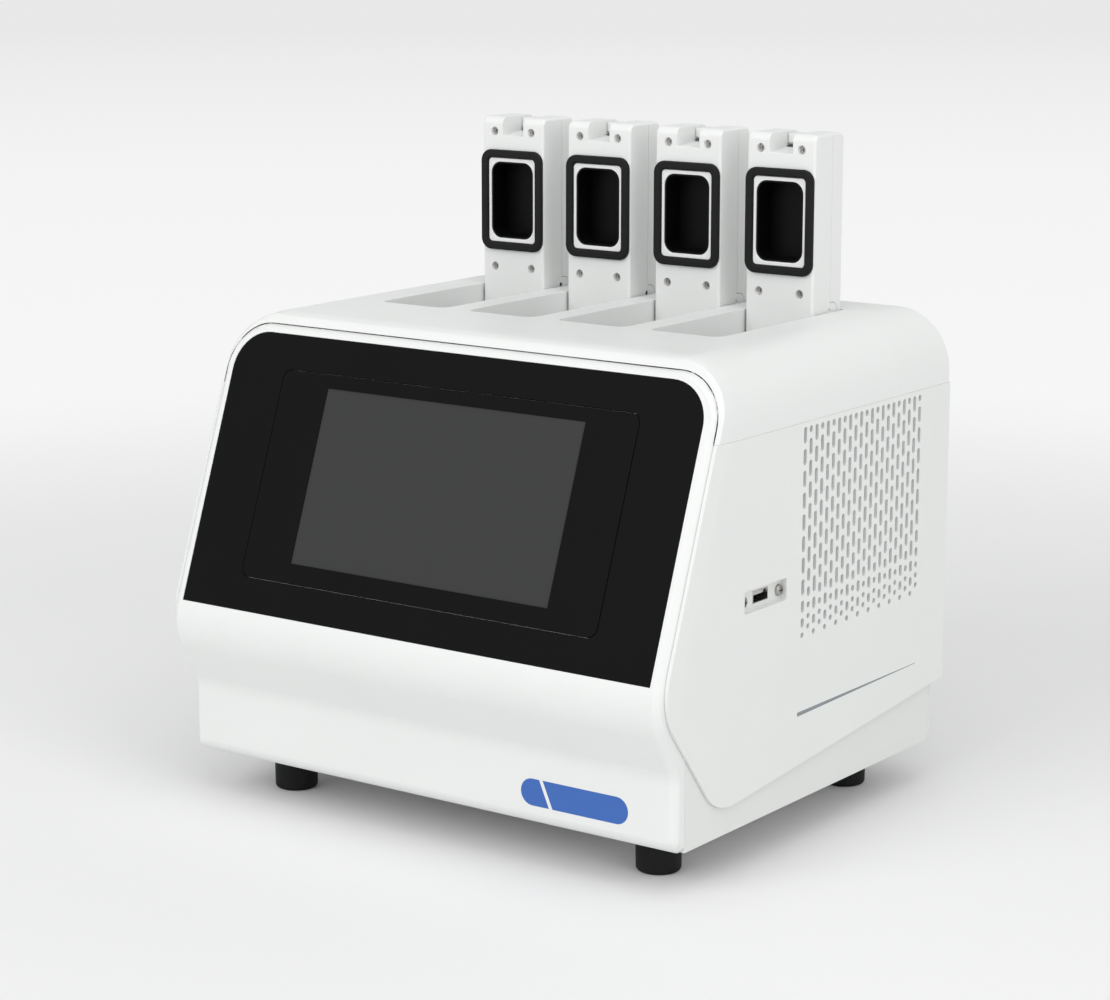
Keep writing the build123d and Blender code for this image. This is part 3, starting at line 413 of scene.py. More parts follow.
def prism(bm: bmesh.types.BMesh, corners: Sequence[Point], travel: Point) -> None:
    """Carries a flat outline along a vector to make a solid.

    Args:
        bm: The mesh that the solid is added to.
        corners: The outline's corners in order.
        travel: The vector.
    """
    face = bm.faces.new([bm.verts.new(corner) for corner in corners])
    moved = bmesh.ops.extrude_face_region(bm, geom=[face])["geom"]
    bmesh.ops.translate(bm, vec=travel, verts=[v for v in moved if isinstance(v, bmesh.types.BMVert)])


def rounded_plate(bm: bmesh.types.BMesh, centre: Point, wide: float, high: float, radius: float,
                  thick: float, across: Axis, steps: int) -> None:
    """Makes an upright plate with round corners, across X or across Y.

    Args:
        bm: The mesh that the plate is added to.
        centre: The middle of the plate's low side.
        wide: Size along X, or along Y for a plate across X.
        high: Size along Z.
        radius: Corner radius.
        thick: Thickness, towards the positive direction.
        across: The direction of the thickness, X or Y.
        steps: Faces round each corner.
    """
    ring = [(-wide / 2, -high / 2), (wide / 2, -high / 2), (wide / 2, high / 2), (-wide / 2, high / 2)]
    placed = [(0, a, b) if across is Axis.X else (a, 0, b) for a, b in ring]
    before = set(bm.verts)
    face = bm.faces.new([bm.verts.new(Vector(corner) + Vector(centre)) for corner in placed])
    bmesh.ops.bevel(bm, geom=list(face.verts), offset=radius, offset_type="OFFSET", segments=steps,
                    profile=0.5, affect="VERTICES", clamp_overlap=True, material=-1)
    face = next(f for f in bm.faces if all(v not in before for v in f.verts))
    moved = bmesh.ops.extrude_face_region(bm, geom=[face])["geom"]
    lifted = [v for v in moved if isinstance(v, bmesh.types.BMVert)]
    bmesh.ops.translate(bm, vec=across.vector * thick, verts=lifted)


def turned(bm: bmesh.types.BMesh, profile: Sequence[tuple[float, float]], foot: Point, axis: Axis,
           steps: int) -> None:
    """Spins a profile about an axis into a closed form.

    Args:
        bm: The mesh that the form is added to.
        profile: Pairs of radius and height along the axis, from one end on the axis to the other.
        foot: Where height zero lies on the axis.
        axis: The axis' direction.
        steps: Faces round the axis.
    """
    side = Axis.Y.vector if axis is Axis.X else Axis.X.vector
    points = [Vector(foot) + side * radius + axis.vector * height for radius, height in profile]
    verts = [bm.verts.new(point) for point in points]
    edges = [bm.edges.new(pair) for pair in zip(verts, verts[1:])]
    bmesh.ops.spin(bm, geom=verts + edges, cent=foot, axis=axis.vector, angle=2 * pi, steps=steps,
                   use_merge=True, use_duplicate=False)
    bmesh.ops.remove_doubles(bm, verts=bm.verts, dist=TURNED_WELD)


def rod(bm: bmesh.types.BMesh, foot: Point, axis: Axis, radius: float, *ends: float) -> None:
    """Makes a plain round bar along an axis between two heights, given in either order."""
    low, high = sorted(ends)
    turned(bm, [(0.0, low), (radius, low), (radius, high), (0.0, high)], foot, axis, 20)


def as_object(bm: bmesh.types.BMesh, name: str) -> bpy.types.Object:
    """Turns a millimetre mesh into an object in metres, with its faces pointing outwards.

    Args:
        bm: The mesh, which is freed.
        name: The object's name.

    Returns:
        The object, linked to the scene.
    """
    bmesh.ops.recalc_face_normals(bm, faces=bm.faces)
    bmesh.ops.scale(bm, vec=(MM,) * 3, verts=bm.verts)
    mesh = bpy.data.meshes.new(name)
    bm.to_mesh(mesh)
    bm.free()
    piece = bpy.data.objects.new(name, mesh)
    bpy.context.scene.collection.objects.link(piece)
    return piece


def cut(bm: bmesh.types.BMesh, cutter: bmesh.types.BMesh) -> bmesh.types.BMesh:
    """Cuts one mesh out of another with the Boolean modifier.

    Args:
        bm: The mesh to cut, which is freed.
        cutter: What is taken away, which is freed.

    Returns:
        The cut mesh, in millimetres.
    """
    blank = as_object(bm, "blank")
    tool = as_object(cutter, "cutter")
    modifier = blank.modifiers.new("cut", "BOOLEAN")
    modifier.operation = "DIFFERENCE"
    modifier.solver = "EXACT"
    modifier.object = tool
    bpy.context.view_layer.update()
    whole = blank.evaluated_get(bpy.context.evaluated_depsgraph_get())
    mesh = bpy.data.meshes.new_from_object(whole)
    result = bmesh.new()
    result.from_mesh(mesh)
    bmesh.ops.scale(result, vec=(1 / MM,) * 3, verts=result.verts)
    bmesh.ops.remove_doubles(result, verts=result.verts, dist=CUT_WELD)
    bpy.data.objects.remove(blank)
    bpy.data.objects.remove(tool)
    bpy.data.meshes.remove(mesh)
    return result


def finish_piece(bm: bmesh.types.BMesh, name: str, finish: Finish, body: str, slot: str,
                 stands_for: Sequence[str] = (), smooth: float = 38.0) -> None:
    """Makes a finished piece: shading, material, body and the nodes it stands for.

    Args:
        bm: The mesh in millimetres.
        name: The piece's name.
        finish: Its finish.
        body: The CAD body it rides on.
        slot: Not used.
        stands_for: CAD nodes that it replaces.
        smooth: Edges that turn by less than this, in degrees, are shaded smooth.
    """
    piece = as_object(bm, name)
    mesh = piece.data
    mesh.shade_smooth()
    mesh.set_sharp_from_angle(angle=radians(smooth))
    weighted = piece.modifiers.new("flat faces", "WEIGHTED_NORMAL")
    weighted.keep_sharp = True
    weighted.weight = 60
    mesh.materials.append(finish.material())
    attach(piece, body)
    if stands_for:
        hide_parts(*stands_for)
    log.info("%s rides on %s, %d faces", name, body, len(mesh.polygons))


def round_node(node: str, name: str, finish: Finish, body: str, slot: str, width: float,
               least: float = SHARP_TURN, shortest: float = 0.0) -> None:
    """Copies a CAD node, rounds its edges and finishes the copy in its place.

    Args:
        node: The CAD node's name.
        name: The new piece's name.
        finish: Its finish.
        body: The CAD body it rides on.
        slot: The record's material slot.
        width: Distance of the rounded edges' borders from the old edges.
        least: Edges that turn by more than this, in degrees, are rounded.
        shortest: Edges up to this length stay as they are.
    """
    bm = node_copy(node)
    edges = [edge for edge in sharp_edges(bm, least) if edge.calc_length() > shortest]
    round_edges(bm, width, 2, edges)
    finish_piece(bm, name, finish, body, slot, [node])


def dress(node: str, finish: Finish) -> None:
    """Gives a CAD node that stays its finish."""
    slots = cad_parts[node].data.materials
    slots.clear()
    slots.append(finish.material())
    log.info("%s keeps its CAD shape, in %s", node, finish.name)


# The case


@dataclass
class Fascia:
    """The white front moulding with the leaning face, the knee and the apron."""

    half_width: float = 146.0
    rim_reach: float = 4.5
    rim_round: float = 1.2
    rim_turn: tuple[float, float] = (30.0, 60.0)
    rim_zs: tuple[float, float] = (29.0, 217.0)
    edge_round: float = 0.2
    edge_turn: float = 50.0
    shortest_edge: float = 0.3

    def build(self) -> None:
        """Rounds the rim and the edges of the moulding."""
        bm = node_copy("front_fascia")
        rim = [edge for edge in sharp_edges(bm, *self.rim_turn) if self.on_rim(edge)]
        round_edges(bm, self.rim_round, 3, rim)
        edges = [edge for edge in sharp_edges(bm, self.edge_turn) if edge.calc_length() > self.shortest_edge]
        round_edges(bm, self.edge_round, 2, edges)
        finish_piece(bm, "fascia", WHITE_MOULDING, MACHINE, "white_plastic", ["front_fascia"],
                     self.edge_turn)

    def on_rim(self, edge: bmesh.types.BMEdge) -> bool:
        """Tells whether an edge lies near the moulding's two sides, between its end curves."""
        low, high = self.rim_zs
        return all(abs(vert.co.x) > self.half_width - self.rim_reach and low < vert.co.z < high
                   for vert in edge.verts)


@dataclass
class Cover:
    """The arched white top cover with its four bays."""

    edge_round: float = 0.25

    def build(self) -> None:
        """Rounds the edges of the cover."""
        round_node("top_cover", "cover", WHITE_MOULDING, MACHINE, "white_plastic", self.edge_round)


@dataclass
class SidePanel:
    """One side panel with its slotted vent and, on the right, the USB recess."""

    side: Side
    face_x: float = 149.0
    thickness: float = 3.0
    edge_round: float = 0.4
    edge_turn: float = 30.0
    crisp: float = 4.0
    columns: int = 22
    pitch: float = 5.17
    first_column: float = -11.4
    slot_width: float = 2.8
    slot: float = 7.9
    gap: float = 2.5
    top_z: float = 205.3
    least_flat: float = 0.02
    recess_y: float = -44.3
    recess_z: float = 130.8
    recess: Point = (36.4, 10.7, 1.0)
    stripe_ys: tuple[float, float] = (-14.7, 99.1)
    stripe_lows: tuple[float, float] = (66.1, 67.8)
    stripe_top: float = 68.1
    stripe_sunk: float = 0.05
    corner: tuple[float, float] = (-82.4, 35.5)
    corner_ends: tuple[tuple[float, float], tuple[float, float]] = ((-117.22, 79.97), (128.3, 54.3))
    corner_radius: float = 22.0
    corner_steps: int = 10
    corner_past: float = 2.0

    @property
    def cutter_low(self) -> float:
        """Where the cutters start, behind the right panel's inner face."""
        return self.face_x - self.thickness - OVERSHOOT

    @property
    def cutter_thick(self) -> float:
        """How thick the cutters are, past both faces of the panel."""
        return self.thickness + 2 * OVERSHOOT

    def slot_rows(self, column: int) -> Iterator[tuple[float, float]]:
        """Gives the top and the length of each slot of one column.

        Args:
            column: The column's number from the front.

        Yields:
            The top and the length.
        """
        full = (self.slot,) * 8 + (5.9, 4.7, 2.4)
        offset = (3.4,) + (self.slot,) * 6 + (6.4, 4.8, 3.2, 2.5, 2.5)
        z = self.top_z
        for length in offset if column % 2 else full:
            yield z, length
            z -= length + self.gap

    def slots(self) -> bmesh.types.BMesh:
        """Makes all the round-ended slots as one cutter.

        Returns:
            The cutter's mesh.
        """
        bm = bmesh.new()
        radius = self.slot_width / 2 - self.least_flat / 4
        for column in range(self.columns):
            y = self.first_column + column * self.pitch
            for top, length in self.slot_rows(column):
                high = max(length, self.slot_width + self.least_flat)
                rounded_plate(bm, (self.cutter_low, y, top - length / 2), self.slot_width, high, radius,
                              self.cutter_thick, Axis.X, 4)
        return bm

    def build(self) -> None:
        """Cuts the vent and the recess out of the blank and rounds the edges."""
        bm = node_copy("left_side_panel")
        bmesh.ops.scale(bm, vec=(-1, 1, 1), verts=bm.verts)
        bmesh.ops.recalc_face_normals(bm, faces=bm.faces)
        bm = cut(bm, self.corner_tip())
        round_edges(bm, self.edge_round, 2, sharp_edges(bm, self.edge_turn))
        cutter = self.slots()
        if self.side is Side.RIGHT:
            rounded_plate(cutter, (self.cutter_low, self.recess_y, self.recess_z), *self.recess,
                          self.cutter_thick, Axis.X, 3)
            self.stripe(cutter, OVERSHOOT)
        bm = cut(bm, cutter)
        if self.side is Side.LEFT:
            bmesh.ops.scale(bm, vec=(-1, 1, 1), verts=bm.verts)
        name = self.side.name.lower()
        finish_piece(bm, f"{name}_panel", WHITE_COAT, MACHINE, "white_metal", [f"{name}_side_panel"],
                     self.crisp)
        if self.side is Side.RIGHT:
            bm = bmesh.new()
            self.stripe(bm, self.stripe_sunk)
            finish_piece(bm, "stripe_print", GREY_PRINT, MACHINE, "white_metal")

    def corner_tip(self) -> bmesh.types.BMesh:
        """Makes the cutter that rounds the panel's lower front corner.

        Returns:
            The cutter's mesh.
        """
        tip = Vector(self.corner)
        first, second = ((Vector(end) - tip).normalized() for end in self.corner_ends)
        half = first.angle(second) / 2
        inward = (first + second).normalized()
        reach = self.corner_radius / tan(half)
        centre = tip + inward * self.corner_radius / sin(half)
        start = tip + first * reach - centre
        turn = start.angle_signed(tip + second * reach - centre)
        outline = [centre + Matrix.Rotation(-turn * step / self.corner_steps, 2) @ start
                   for step in range(self.corner_steps + 1)]
        outline.append(tip - inward * self.corner_past)
        bm = bmesh.new()
        prism(bm, [(self.cutter_low, y, z) for y, z in outline], (self.cutter_thick, 0.0, 0.0))
        return bm

    def stripe(self, bm: bmesh.types.BMesh, thick: float) -> None:
        """Adds the tapered stripe, from the bottom of its shallow seat outwards."""
        x = self.face_x - self.stripe_sunk
        ends = list(zip(self.stripe_ys, self.stripe_lows))
        corners = [(x, y, z) for y, z in ends] + [(x, y, self.stripe_top) for y, z in reversed(ends)]
        prism(bm, corners, (thick, 0.0, 0.0))


@dataclass
class Tray:
    """The base tray and the rear panel."""

    tray_round: float = 0.4
    rear_round: float = 0.25
    edge_turn: float = 50.0

    def build(self) -> None:
        """Rounds both sheets' edges."""
        for node, name, width in (
            ("base_chassis", "chassis", self.tray_round), ("rear_panel", "back_panel", self.rear_round),
        ):
            round_node(node, name, WHITE_METAL, MACHINE, "white_metal", width, self.edge_turn)


@dataclass
class Feet:
    """Four round rubber feet, slightly tapered."""

    x: float = 111.6
    front_y: float = -75.6
    rear_y: float = 94.6
    height: float = 22.5
    top_radius: float = 11.4
    top_ring: tuple[float, float] = (0.3, 0.5)
    foot_radius: float = 10.8
    tread_round: float = 2.0
    seat_radius: float = 3.2
    seat_depth: float = 6.0
    chamfer: float = 0.6

    def profile(self) -> list[tuple[float, float]]:
        """Gives the foot's outline: a rounded tread, a tapered side and a screw seat under it."""
        seat = [(0.0, self.seat_depth), (self.seat_radius, self.seat_depth),
                (self.seat_radius, self.chamfer), (self.seat_radius + self.chamfer, 0.0)]
        middle, bend = self.foot_radius - self.tread_round, self.tread_round
        rim = [(middle + bend * sin(a), bend - bend * cos(a)) for a in
               (radians(step) for step in range(0, 91, 15))]
        low, high = (self.top_radius - less for less in self.top_ring)
        return seat + rim + [(low, self.height - self.chamfer), (high, self.height), (0.0, self.height)]

    def build(self) -> None:
        """Turns the four feet."""
        bm = bmesh.new()
        for x in (-self.x, self.x):
            for y in (self.front_y, self.rear_y):
                turned(bm, self.profile(), (x, y, 0.0), Axis.Z, 48)
        finish_piece(bm, "rubber_feet", RUBBER, MACHINE, "black_rubber", ["feet"])


# The display


@dataclass
class Display:
    """The black surround, the touch unit's frame and its glass."""

    surround_round: float = 0.35
    bezel_round: float = 0.25
    glass_round: float = 0.15

    def build(self) -> None:
        """Rounds the plates' edges and dresses the parts behind them."""
        for node, name, finish, slot, width in (
            ("display_surround", "surround", BLACK_PANEL, "black_panel", self.surround_round),
            ("touch_bezel", "bezel", BEZEL_BLACK, "black_panel", self.bezel_round),
            ("touch_screen", "glass", SCREEN_GLASS, "screen", self.glass_round),
        ):
            round_node(node, name, finish, MACHINE, slot, width)
        dress("lcd_module", LCD_DARK)


# The lids


@dataclass
class Lid:
    """One lid: two half shells, a seal round the window, a heated head, screws, pins and the latch."""

    number: int
    pitch: float = 54.84
    face_y: float = 71.36
    window_z: float = 288.85
    window_wide: float = 27.1
    window_high: float = 40.1
    window_radius: float = 6.0
    inner_round: float = 0.35
    outer_round: float = 0.3
    outer_shortest: float = 0.4
    rim_outer: Point = (30.1, 44.1, 2.2)
    rim_proud: float = 0.9
    rim_seated: float = 0.4
    rim_crown: float = 0.35
    seal_inner: Point = (30.4, 44.4, 2.4)
    seal_outer: Point = (39.0, 52.6, 6.0)
    seal_proud: float = 2.3
    seal_crown: float = 1.1
    crown_turn: float = 60.0
    head_play: float = 0.1
    head_wall: float = 1.0
    head_proud: float = 0.5
    head_crown: float = 0.3
    head_depth: float = 12.0
    floor_overlap: float = 0.2
    floor_thick: float = 4.0
    screw_x: float = 11.8
    screw_zs: tuple[float, float] = (253.5, 324.7)
    screw_depth: float = 2.2
    screw_profile: tuple[tuple[float, float], ...] = (
        (0.0, 0.8), (0.75, 0.8), (0.95, 0.1), (1.9, 0.0), (2.2, 0.3), (2.2, 1.15), (0.0, 1.15),
    )
    seat_radius: float = 2.25
    seat_depth: float = 3.4
    half_width: float = 19.65
    pin_y: float = 87.5
    pin_z: float = 244.2
    pin_radius: float = 1.25
    pin_sunk: float = 0.6
    pin_long: float = 3.0
    button_round: float = 0.25
    button_shortest: float = 0.6

    @property
    def x(self) -> float:
        """The middle of the lid."""
        return self.pitch * (self.number - 2.5)

    @property
    def body(self) -> str:
        """The CAD body that the lid's pieces ride on."""
        return f"lid_{self.number}"

    def window(self, less: float) -> Point:
        """Gives the window's width, height and corner radius, drawn in on every side by a distance."""
        return self.window_wide - 2 * less, self.window_high - 2 * less, self.window_radius - less

    def screw_feet(self, y: float) -> list[Point]:
        """Gives the middles of the four screws at one depth."""
        return [(self.x + x, y, z) for x in (-self.screw_x, self.screw_x) for z in self.screw_zs]

    def band(self, outer: Point, inner: Point, back: float, front: float, crown: float,
             ) -> bmesh.types.BMesh:
        """Makes a closed band around the window.

        Args:
            outer: Width, height and corner radius of its outer edge.
            inner: Width, height and corner radius of its inner edge.
            back: Y of its back.
            front: Y of its front.
            crown: Radius of its rounded front edges.

        Returns:
            The band's mesh.
        """
        bm = bmesh.new()
        rounded_plate(bm, (self.x, front, self.window_z), *outer, back - front, Axis.Y, 8)
        cutter = bmesh.new()
        rounded_plate(cutter, (self.x, front - OVERSHOOT, self.window_z), *inner,
                      back - front + 2 * OVERSHOOT, Axis.Y, 8)
        bm = cut(bm, cutter)
        rim = [edge for edge in sharp_edges(bm, self.crown_turn)
               if all(abs(vert.co.y - front) < CUT_WELD for vert in edge.verts)]
        round_edges(bm, crown, 4, rim)
        return bm

    def shells(self) -> None:
        """Rounds the two half shells and sinks the screw seats in the inner one."""
        bm = node_copy(f"lid_inner_{self.number}")
        cutter = bmesh.new()
        for foot in self.screw_feet(self.face_y):
            rod(cutter, foot, Axis.Y, self.seat_radius, -OVERSHOOT, self.seat_depth)
        self.pin_holes(cutter)
        round_edges(bm, self.inner_round, 2, sharp_edges(bm, SHARP_TURN))
        bm = cut(bm, cutter)
        finish_piece(bm, f"lid_shell_inner_{self.number}", WHITE_MOULDING, self.body, "white_plastic",
                     [f"lid_inner_{self.number}"])
        bm = node_copy(f"lid_outer_{self.number}")
        edges = [edge for edge in sharp_edges(bm, SHARP_TURN) if edge.calc_length() > self.outer_shortest]
        round_edges(bm, self.outer_round, 2, edges)
        cutter = bmesh.new()
        self.pin_holes(cutter)
        bm = cut(bm, cutter)
        finish_piece(bm, f"lid_shell_outer_{self.number}", WHITE_MOULDING, self.body, "white_plastic",
                     [f"lid_outer_{self.number}"])

    def pin_holes(self, bm: bmesh.types.BMesh) -> None:
        """Adds the cutters of the two pin holes, one in each side of the lid."""
        for side in Side:
            foot = (self.x + side.value * self.half_width, self.pin_y, self.pin_z)
            rod(bm, foot, Axis.X, self.pin_radius, -self.pin_sunk * side.value, OVERSHOOT * side.value)

    def pins(self) -> None:
        """Makes the dark pins whose sunk ends show in the pin holes; their near-black colour is painted
        shade, standing in for the shade deep in each hole.
        """
        bm = bmesh.new()
        reach = self.half_width - self.pin_sunk
        for side in Side:
            foot = (self.x + side.value * reach, self.pin_y, self.pin_z)
            rod(bm, foot, Axis.X, self.pin_radius, 0.0, -self.pin_long * side.value)
        finish_piece(bm, f"lid_pins_{self.number}", PIN_SHADE_BLACK, self.body, "steel")

    def seal_and_head(self) -> None:
        """Makes the crowned seal, the raised rim and the hollow heated head."""
        bm = self.band(self.seal_outer, self.seal_inner, self.face_y, self.face_y - self.seal_proud,
                       self.seal_crown)
        finish_piece(bm, f"lid_seal_{self.number}", RUBBER, self.body, "black_rubber",
                     [f"lid_gasket_{self.number}"])
        bm = self.band(self.rim_outer, self.window(0.0), self.face_y + self.rim_seated,
                       self.face_y - self.rim_proud, self.rim_crown)
        finish_piece(bm, f"lid_rim_{self.number}", WHITE_MOULDING, self.body, "white_plastic")
        bottom = self.face_y + self.head_depth
        bm = self.band(self.window(self.head_play), self.window(self.head_wall), bottom,
                       self.face_y - self.head_proud, self.head_crown)
        rounded_plate(bm, (self.x, bottom - self.floor_overlap, self.window_z),
                      *self.window(2 * self.head_play), self.floor_thick, Axis.Y, 8)
        finish_piece(bm, f"lid_head_{self.number}", BLACK_ALUMINIUM, self.body, "black_aluminium",
                     [f"lid_heater_{self.number}"])

    def screws(self) -> None:
        """Makes the four sunk screws, each with a round drive recess."""
        bm = bmesh.new()
        for foot in self.screw_feet(self.face_y + self.screw_depth):
            turned(bm, self.screw_profile, foot, Axis.Y, 16)
        finish_piece(bm, f"lid_screws_{self.number}", SCREW_STEEL, self.body, "steel")

    def latch(self) -> None:
        """Rounds the sliding latch button."""
        round_node(f"latch_button_{self.number}", f"latch_{self.number}_button", WHITE_MOULDING,
                   f"latch_{self.number}", "white_plastic", self.button_round,
                   shortest=self.button_shortest)

    def build(self) -> None:
        """Builds the whole lid."""
        self.shells()
        self.seal_and_head()
        self.screws()
        self.pins()
        self.latch()
        dress(f"lid_board_{self.number}", BOARD_GREEN)


# Fittings


@dataclass
class UsbPort:
    """The USB socket in its white bracket with two cross-head screws."""

    face_x: float = 146.0
    screw_z: float = 130.4
    screw_ys: tuple[float, float] = (-28.9, -59.8)
    plate_round: float = 0.2
    head_profile: tuple[tuple[float, float], ...] = (
        (0.0, -0.5), (2.9, -0.5), (2.9, 0.5), (2.6, 1.2), (1.9, 1.6), (1.0, 1.75), (0.0, 1.8),
    )
    cross_arm: float = 1.6
    cross_half: float = 0.35
    cross_bottom: float = 0.8
    cross_long: float = 2.0

    def build(self) -> None:
        """Rounds the bracket's plate, dresses the socket and makes the screws."""
        round_node("usb_bracket", "usb_plate", WHITE_METAL, MACHINE, "white_metal", self.plate_round)
        dress("usb_socket", STEEL)
        self.screws()

    def screws(self) -> None:
        """Makes the two pan-head screws with cross recesses."""
        bm = bmesh.new()
        for y in self.screw_ys:
            turned(bm, self.head_profile, (self.face_x, y, self.screw_z), Axis.X, 24)
        cutter = bmesh.new()
        for y in self.screw_ys:
            prism(cutter, self.cross(y), (self.cross_long, 0.0, 0.0))
        bm = cut(bm, cutter)
        finish_piece(bm, "usb_screws", SCREW_STEEL, MACHINE, "steel")

    def cross(self, y: float) -> list[Point]:
        """Gives the cross' corners in order at one screw, at the bottom of its recess."""
        x, z = self.face_x + self.cross_bottom, self.screw_z
        arm, half = self.cross_arm, self.cross_half
        quarter = ((half, half), (half, arm), (-half, arm))
        return [(x, y + a * c - b * s, z + a * s + b * c)
                for c, s in ((1, 0), (0, 1), (-1, 0), (0, -1)) for a, b in quarter]


@dataclass
class RearFittings:
    """The mains inlet, the switch and the fan."""

    body_round: float = 0.25
    body_shortest: float = 0.6
    rocker_round: float = 0.3

    def build(self) -> None:
        """Rounds and dresses the fittings."""
        for node, name in (("power_inlet", "inlet"), ("switch_body", "switch_frame")):
            round_node(node, name, BLACK_PLASTIC, MACHINE, "black_plastic", self.body_round,
                       shortest=self.body_shortest)
        round_node("power_rocker", "rocker", BLACK_PLASTIC, "power_rocker", "black_plastic",
                   self.rocker_round)
        dress("fan_frame", BLACK_PLASTIC)
        dress("fan_rotor", BLACK_PLASTIC)


@dataclass
class Inside:
    """The parts that show only through the bays, the vents or the back."""

    def build(self) -> None:
        """Dresses the inner nodes."""
        for number in LIDS:
            dress(f"sample_block_{number}", ALUMINIUM)
        for node, finish in (
            ("bay_deck", WHITE_METAL), ("peltiers", CERAMIC), ("heat_sinks", ALUMINIUM),
            ("module_plate", GREY_METAL), ("frame_cheek_left", WHITE_METAL),
            ("frame_cheek_right", WHITE_METAL), ("hinge_posts", GREY_METAL), ("hinge_rod", STEEL),
            ("latch_strikes", STEEL), ("control_board", BOARD_GREEN), ("board_standoffs", STEEL),
            ("power_supply", GREY_METAL),
        ):
            dress(node, finish)


@dataclass
class Prints:
    """The blue label with its slanted white split, without words."""

    apron_y: float = -113.4
    low_x: float = 59.4
    high_x: float = 120.0
    z: float = 38.8
    high: float = 13.0
    film: float = 0.06
    end_flat: float = 0.02
    split_x: float = 73.75
    split_half: float = 0.95
    split_lean: float = 5.4 / 12.4

    def build(self) -> None:
        """Lays the label on the apron and the split on the label."""
        bm = bmesh.new()
        wide = self.high_x - self.low_x
        rounded_plate(bm, ((self.low_x + self.high_x) / 2, self.apron_y - self.film, self.z), wide,
                      self.high, (self.high - self.end_flat) / 2, self.film, Axis.Y, 12)
        finish_piece(bm, "label_print", BLUE_PRINT, MACHINE, "white_plastic")
        bm = bmesh.new()
        half = self.high / 2
        lean = half * self.split_lean
        corners = [(self.split_x + s * self.split_half - k * lean, self.apron_y - 2 * self.film,
                    self.z + k * half) for s, k in ((-1, -1), (1, -1), (1, 1), (-1, 1))]
        prism(bm, corners, (0.0, self.film, 0.0))
        finish_piece(bm, "label_split", WHITE_PRINT, MACHINE, "white_plastic")


# Studio


@dataclass(frozen=True)
class Lamp:
    """One soft round lamp that points at a height on the machine's middle line, in metres and watts."""

    name: str
    eye: Point
    aim_z: float
    size: float
    power: float

    def hang(self) -> None:
        """Adds the lamp to the scene."""
        data = bpy.data.lights.new(self.name, "AREA")
        data.shape = "DISK"
        data.size = self.size
        data.energy = self.power
        lamp = bpy.data.objects.new(self.name, data)
        look = Vector((0.0, 0.0, self.aim_z)) - Vector(self.eye)
        turn = look.to_track_quat("-Z", "Y").to_matrix().to_4x4()
        lamp.matrix_world = Matrix.Translation(self.eye) @ turn
        bpy.context.scene.collection.objects.link(lamp)


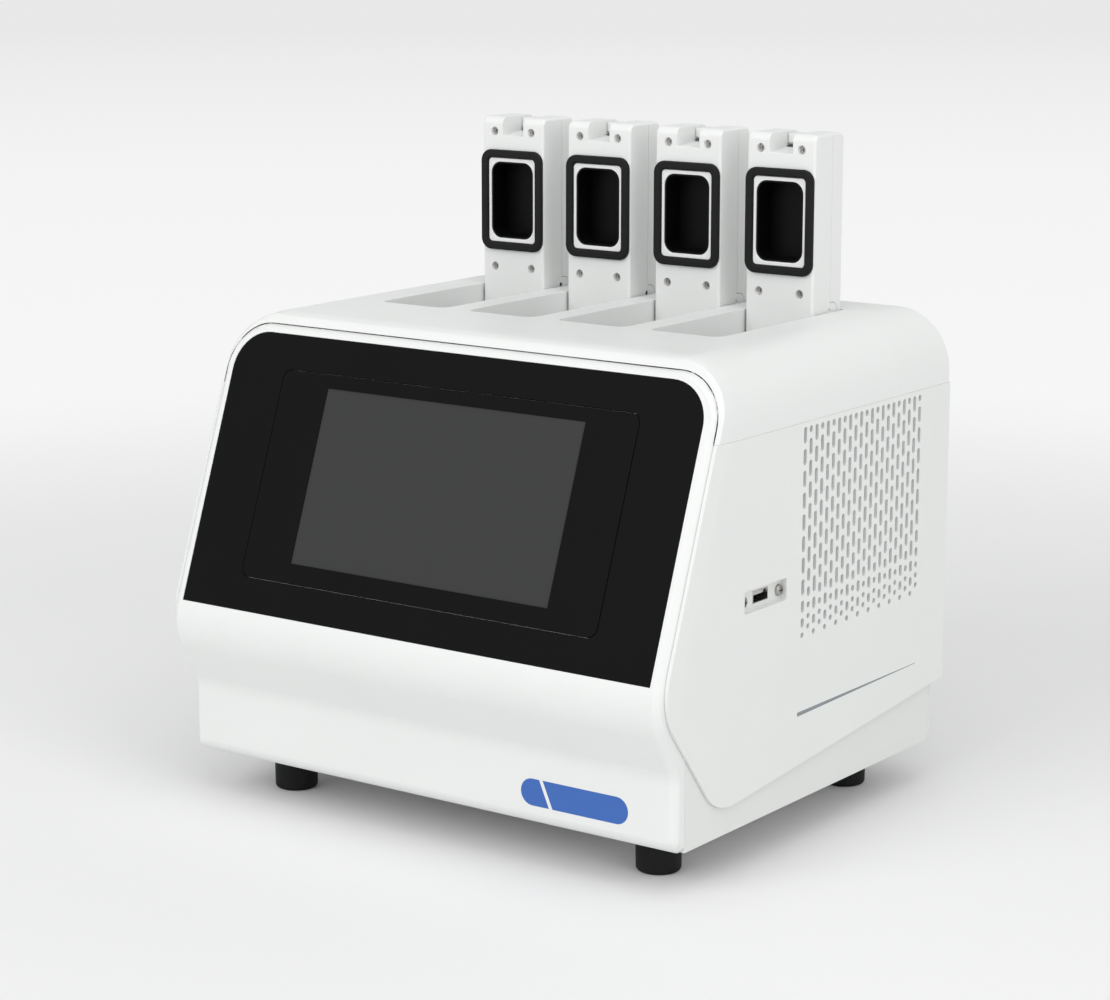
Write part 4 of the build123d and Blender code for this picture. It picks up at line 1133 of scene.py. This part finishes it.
@dataclass
class Studio:
    """The pale floor and backdrop, the soft lamps and the camera, in metres."""

    lens: float = 96.78
    eye: Point = (0.8551, -1.1854, 0.4569)
    right: Point = (0.80991, 0.58655, 0.00044)
    forward: Point = (-0.57398, 0.79270, -0.20534)
    floor_radius: float = 12.0
    paper: Point = (0.84, 0.84, 0.84)
    fade: tuple[float, float] = (0.5, 1.3)
    far_tones: tuple[tuple[float, float], ...] = ((0.8, 0.93), (2.7, 0.91), (7.5, 0.81))
    ambient: float = 0.68
    ambient_tint: Point = (0.985, 1.0, 0.99)
    backdrop: Point = (0.8, 0.8, 0.8)
    lamps: tuple[Lamp, ...] = (
        Lamp("overhead", (1.1, -0.8, 2.3), aim_z=0.2, size=2.2, power=15.5),
        Lamp("front_left", (-0.5, -2.9, 1.9), aim_z=0.15, size=2.2, power=32.5),
        Lamp("right", (2.8, -0.8, 1.3), aim_z=0.15, size=1.8, power=13.5),
    )

    def camera(self) -> None:
        """Places the camera where the photograph was taken."""
        data = bpy.data.cameras.new("camera")
        data.sensor_width = 36.0
        data.lens = self.lens
        data.clip_start = 0.02
        camera = bpy.data.objects.new("camera", data)
        x, z = Vector(self.right).normalized(), -Vector(self.forward).normalized()
        y = z.cross(x).normalized()
        turn = Matrix((x, y, z)).transposed().to_4x4()
        camera.matrix_world = Matrix.Translation(self.eye) @ turn
        bpy.context.scene.collection.objects.link(camera)
        bpy.context.scene.camera = camera

    def floor(self) -> None:
        """Makes the pale floor, which fades into the pale surroundings away from the machine."""
        bm = bmesh.new()
        bmesh.ops.create_circle(bm, cap_ends=True, radius=self.floor_radius / MM, segments=64)
        sheet = as_object(bm, "floor")
        sheet.data.materials.append(self.floor_material())

    def floor_material(self) -> bpy.types.Material:
        """Makes the floor's material: paper that takes the shadow, and beyond it an even pale tone.

        Returns:
            The material.
        """
        material = bpy.data.materials.new("studio_floor")
        material.use_nodes = True
        shader = Shader(material.node_tree)
        material.node_tree.nodes.remove(material.node_tree.nodes["Principled BSDF"])
        paper = shader.add("ShaderNodeBsdfDiffuse", Color=(*self.paper, 1.0))
        place = shader.add("ShaderNodeTexCoord")
        length = shader.add("ShaderNodeVectorMath", operation="LENGTH")
        shader.join(place.outputs["Object"], length.inputs[0])
        ramp = shader.add("ShaderNodeValToRGB")
        far = shader.math("DIVIDE", length.outputs["Value"], self.floor_radius)
        shader.join(far, ramp.inputs[0])
        while len(ramp.color_ramp.elements) < len(self.far_tones):
            ramp.color_ramp.elements.new(0.5)
        for element, (radius, tone) in zip(ramp.color_ramp.elements, self.far_tones):
            element.position = radius / self.floor_radius
            element.color = (tone, tone, tone, 1.0)
        glow = shader.add("ShaderNodeEmission", Strength=1.0)
        shader.join(ramp.outputs[0], glow.inputs["Color"])
        fade = shader.add("ShaderNodeMapRange", interpolation_type="SMOOTHSTEP")
        fade.inputs["From Min"].default_value, fade.inputs["From Max"].default_value = self.fade
        shader.join(length.outputs["Value"], fade.inputs["Value"])
        seen = shader.math("MULTIPLY", fade.outputs[0], self.seen(shader))
        mix = shader.add("ShaderNodeMixShader")
        shader.join(seen, mix.inputs[0])
        shader.join(paper.outputs[0], mix.inputs[1])
        shader.join(glow.outputs[0], mix.inputs[2])
        shader.join(mix.outputs[0], material.node_tree.nodes["Material Output"].inputs["Surface"])
        return material

    def seen(self, shader: Shader) -> bpy.types.NodeSocket:
        """Gives 1 for camera rays and for what metal and glass show, otherwise 0."""
        path = shader.add("ShaderNodeLightPath")
        mirrored = shader.math("MAXIMUM", path.outputs["Is Glossy Ray"], path.outputs["Is Transmission Ray"])
        return shader.math("MAXIMUM", path.outputs["Is Camera Ray"], mirrored)

    def world(self) -> None:
        """Sets the even light all round, with a pale tone where the camera looks past the floor."""
        world = bpy.data.worlds.new("studio")
        bpy.context.scene.world = world
        world.use_nodes = True
        shader = Shader(world.node_tree)
        light = world.node_tree.nodes["Background"]
        light.inputs["Color"].default_value = (*self.ambient_tint, 1.0)
        light.inputs["Strength"].default_value = self.ambient
        pale = shader.add("ShaderNodeBackground", Color=(*self.backdrop, 1.0), Strength=1.0)
        mix = shader.add("ShaderNodeMixShader")
        shader.join(shader.add("ShaderNodeLightPath").outputs["Is Camera Ray"], mix.inputs[0])
        shader.join(light.outputs[0], mix.inputs[1])
        shader.join(pale.outputs[0], mix.inputs[2])
        shader.join(mix.outputs[0], world.node_tree.nodes["World Output"].inputs["Surface"])

    def build(self) -> None:
        """Sets up the whole studio."""
        bpy.context.scene.view_settings.view_transform = "Standard"
        self.world()
        for lamp in self.lamps:
            lamp.hang()
        self.floor()
        self.camera()


def main() -> None:
    """Builds the machine and the studio."""
    logging.basicConfig(level=logging.INFO, format="%(message)s")
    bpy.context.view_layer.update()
    Fascia().build()
    Cover().build()
    for side in Side:
        SidePanel(side).build()
    Tray().build()
    Feet().build()
    Display().build()
    for number in LIDS:
        Lid(number).build()
    UsbPort().build()
    RearFittings().build()
    Inside().build()
    Prints().build()
    Studio().build()
    bpy.context.view_layer.update()


if __name__ == "__main__":
    main()
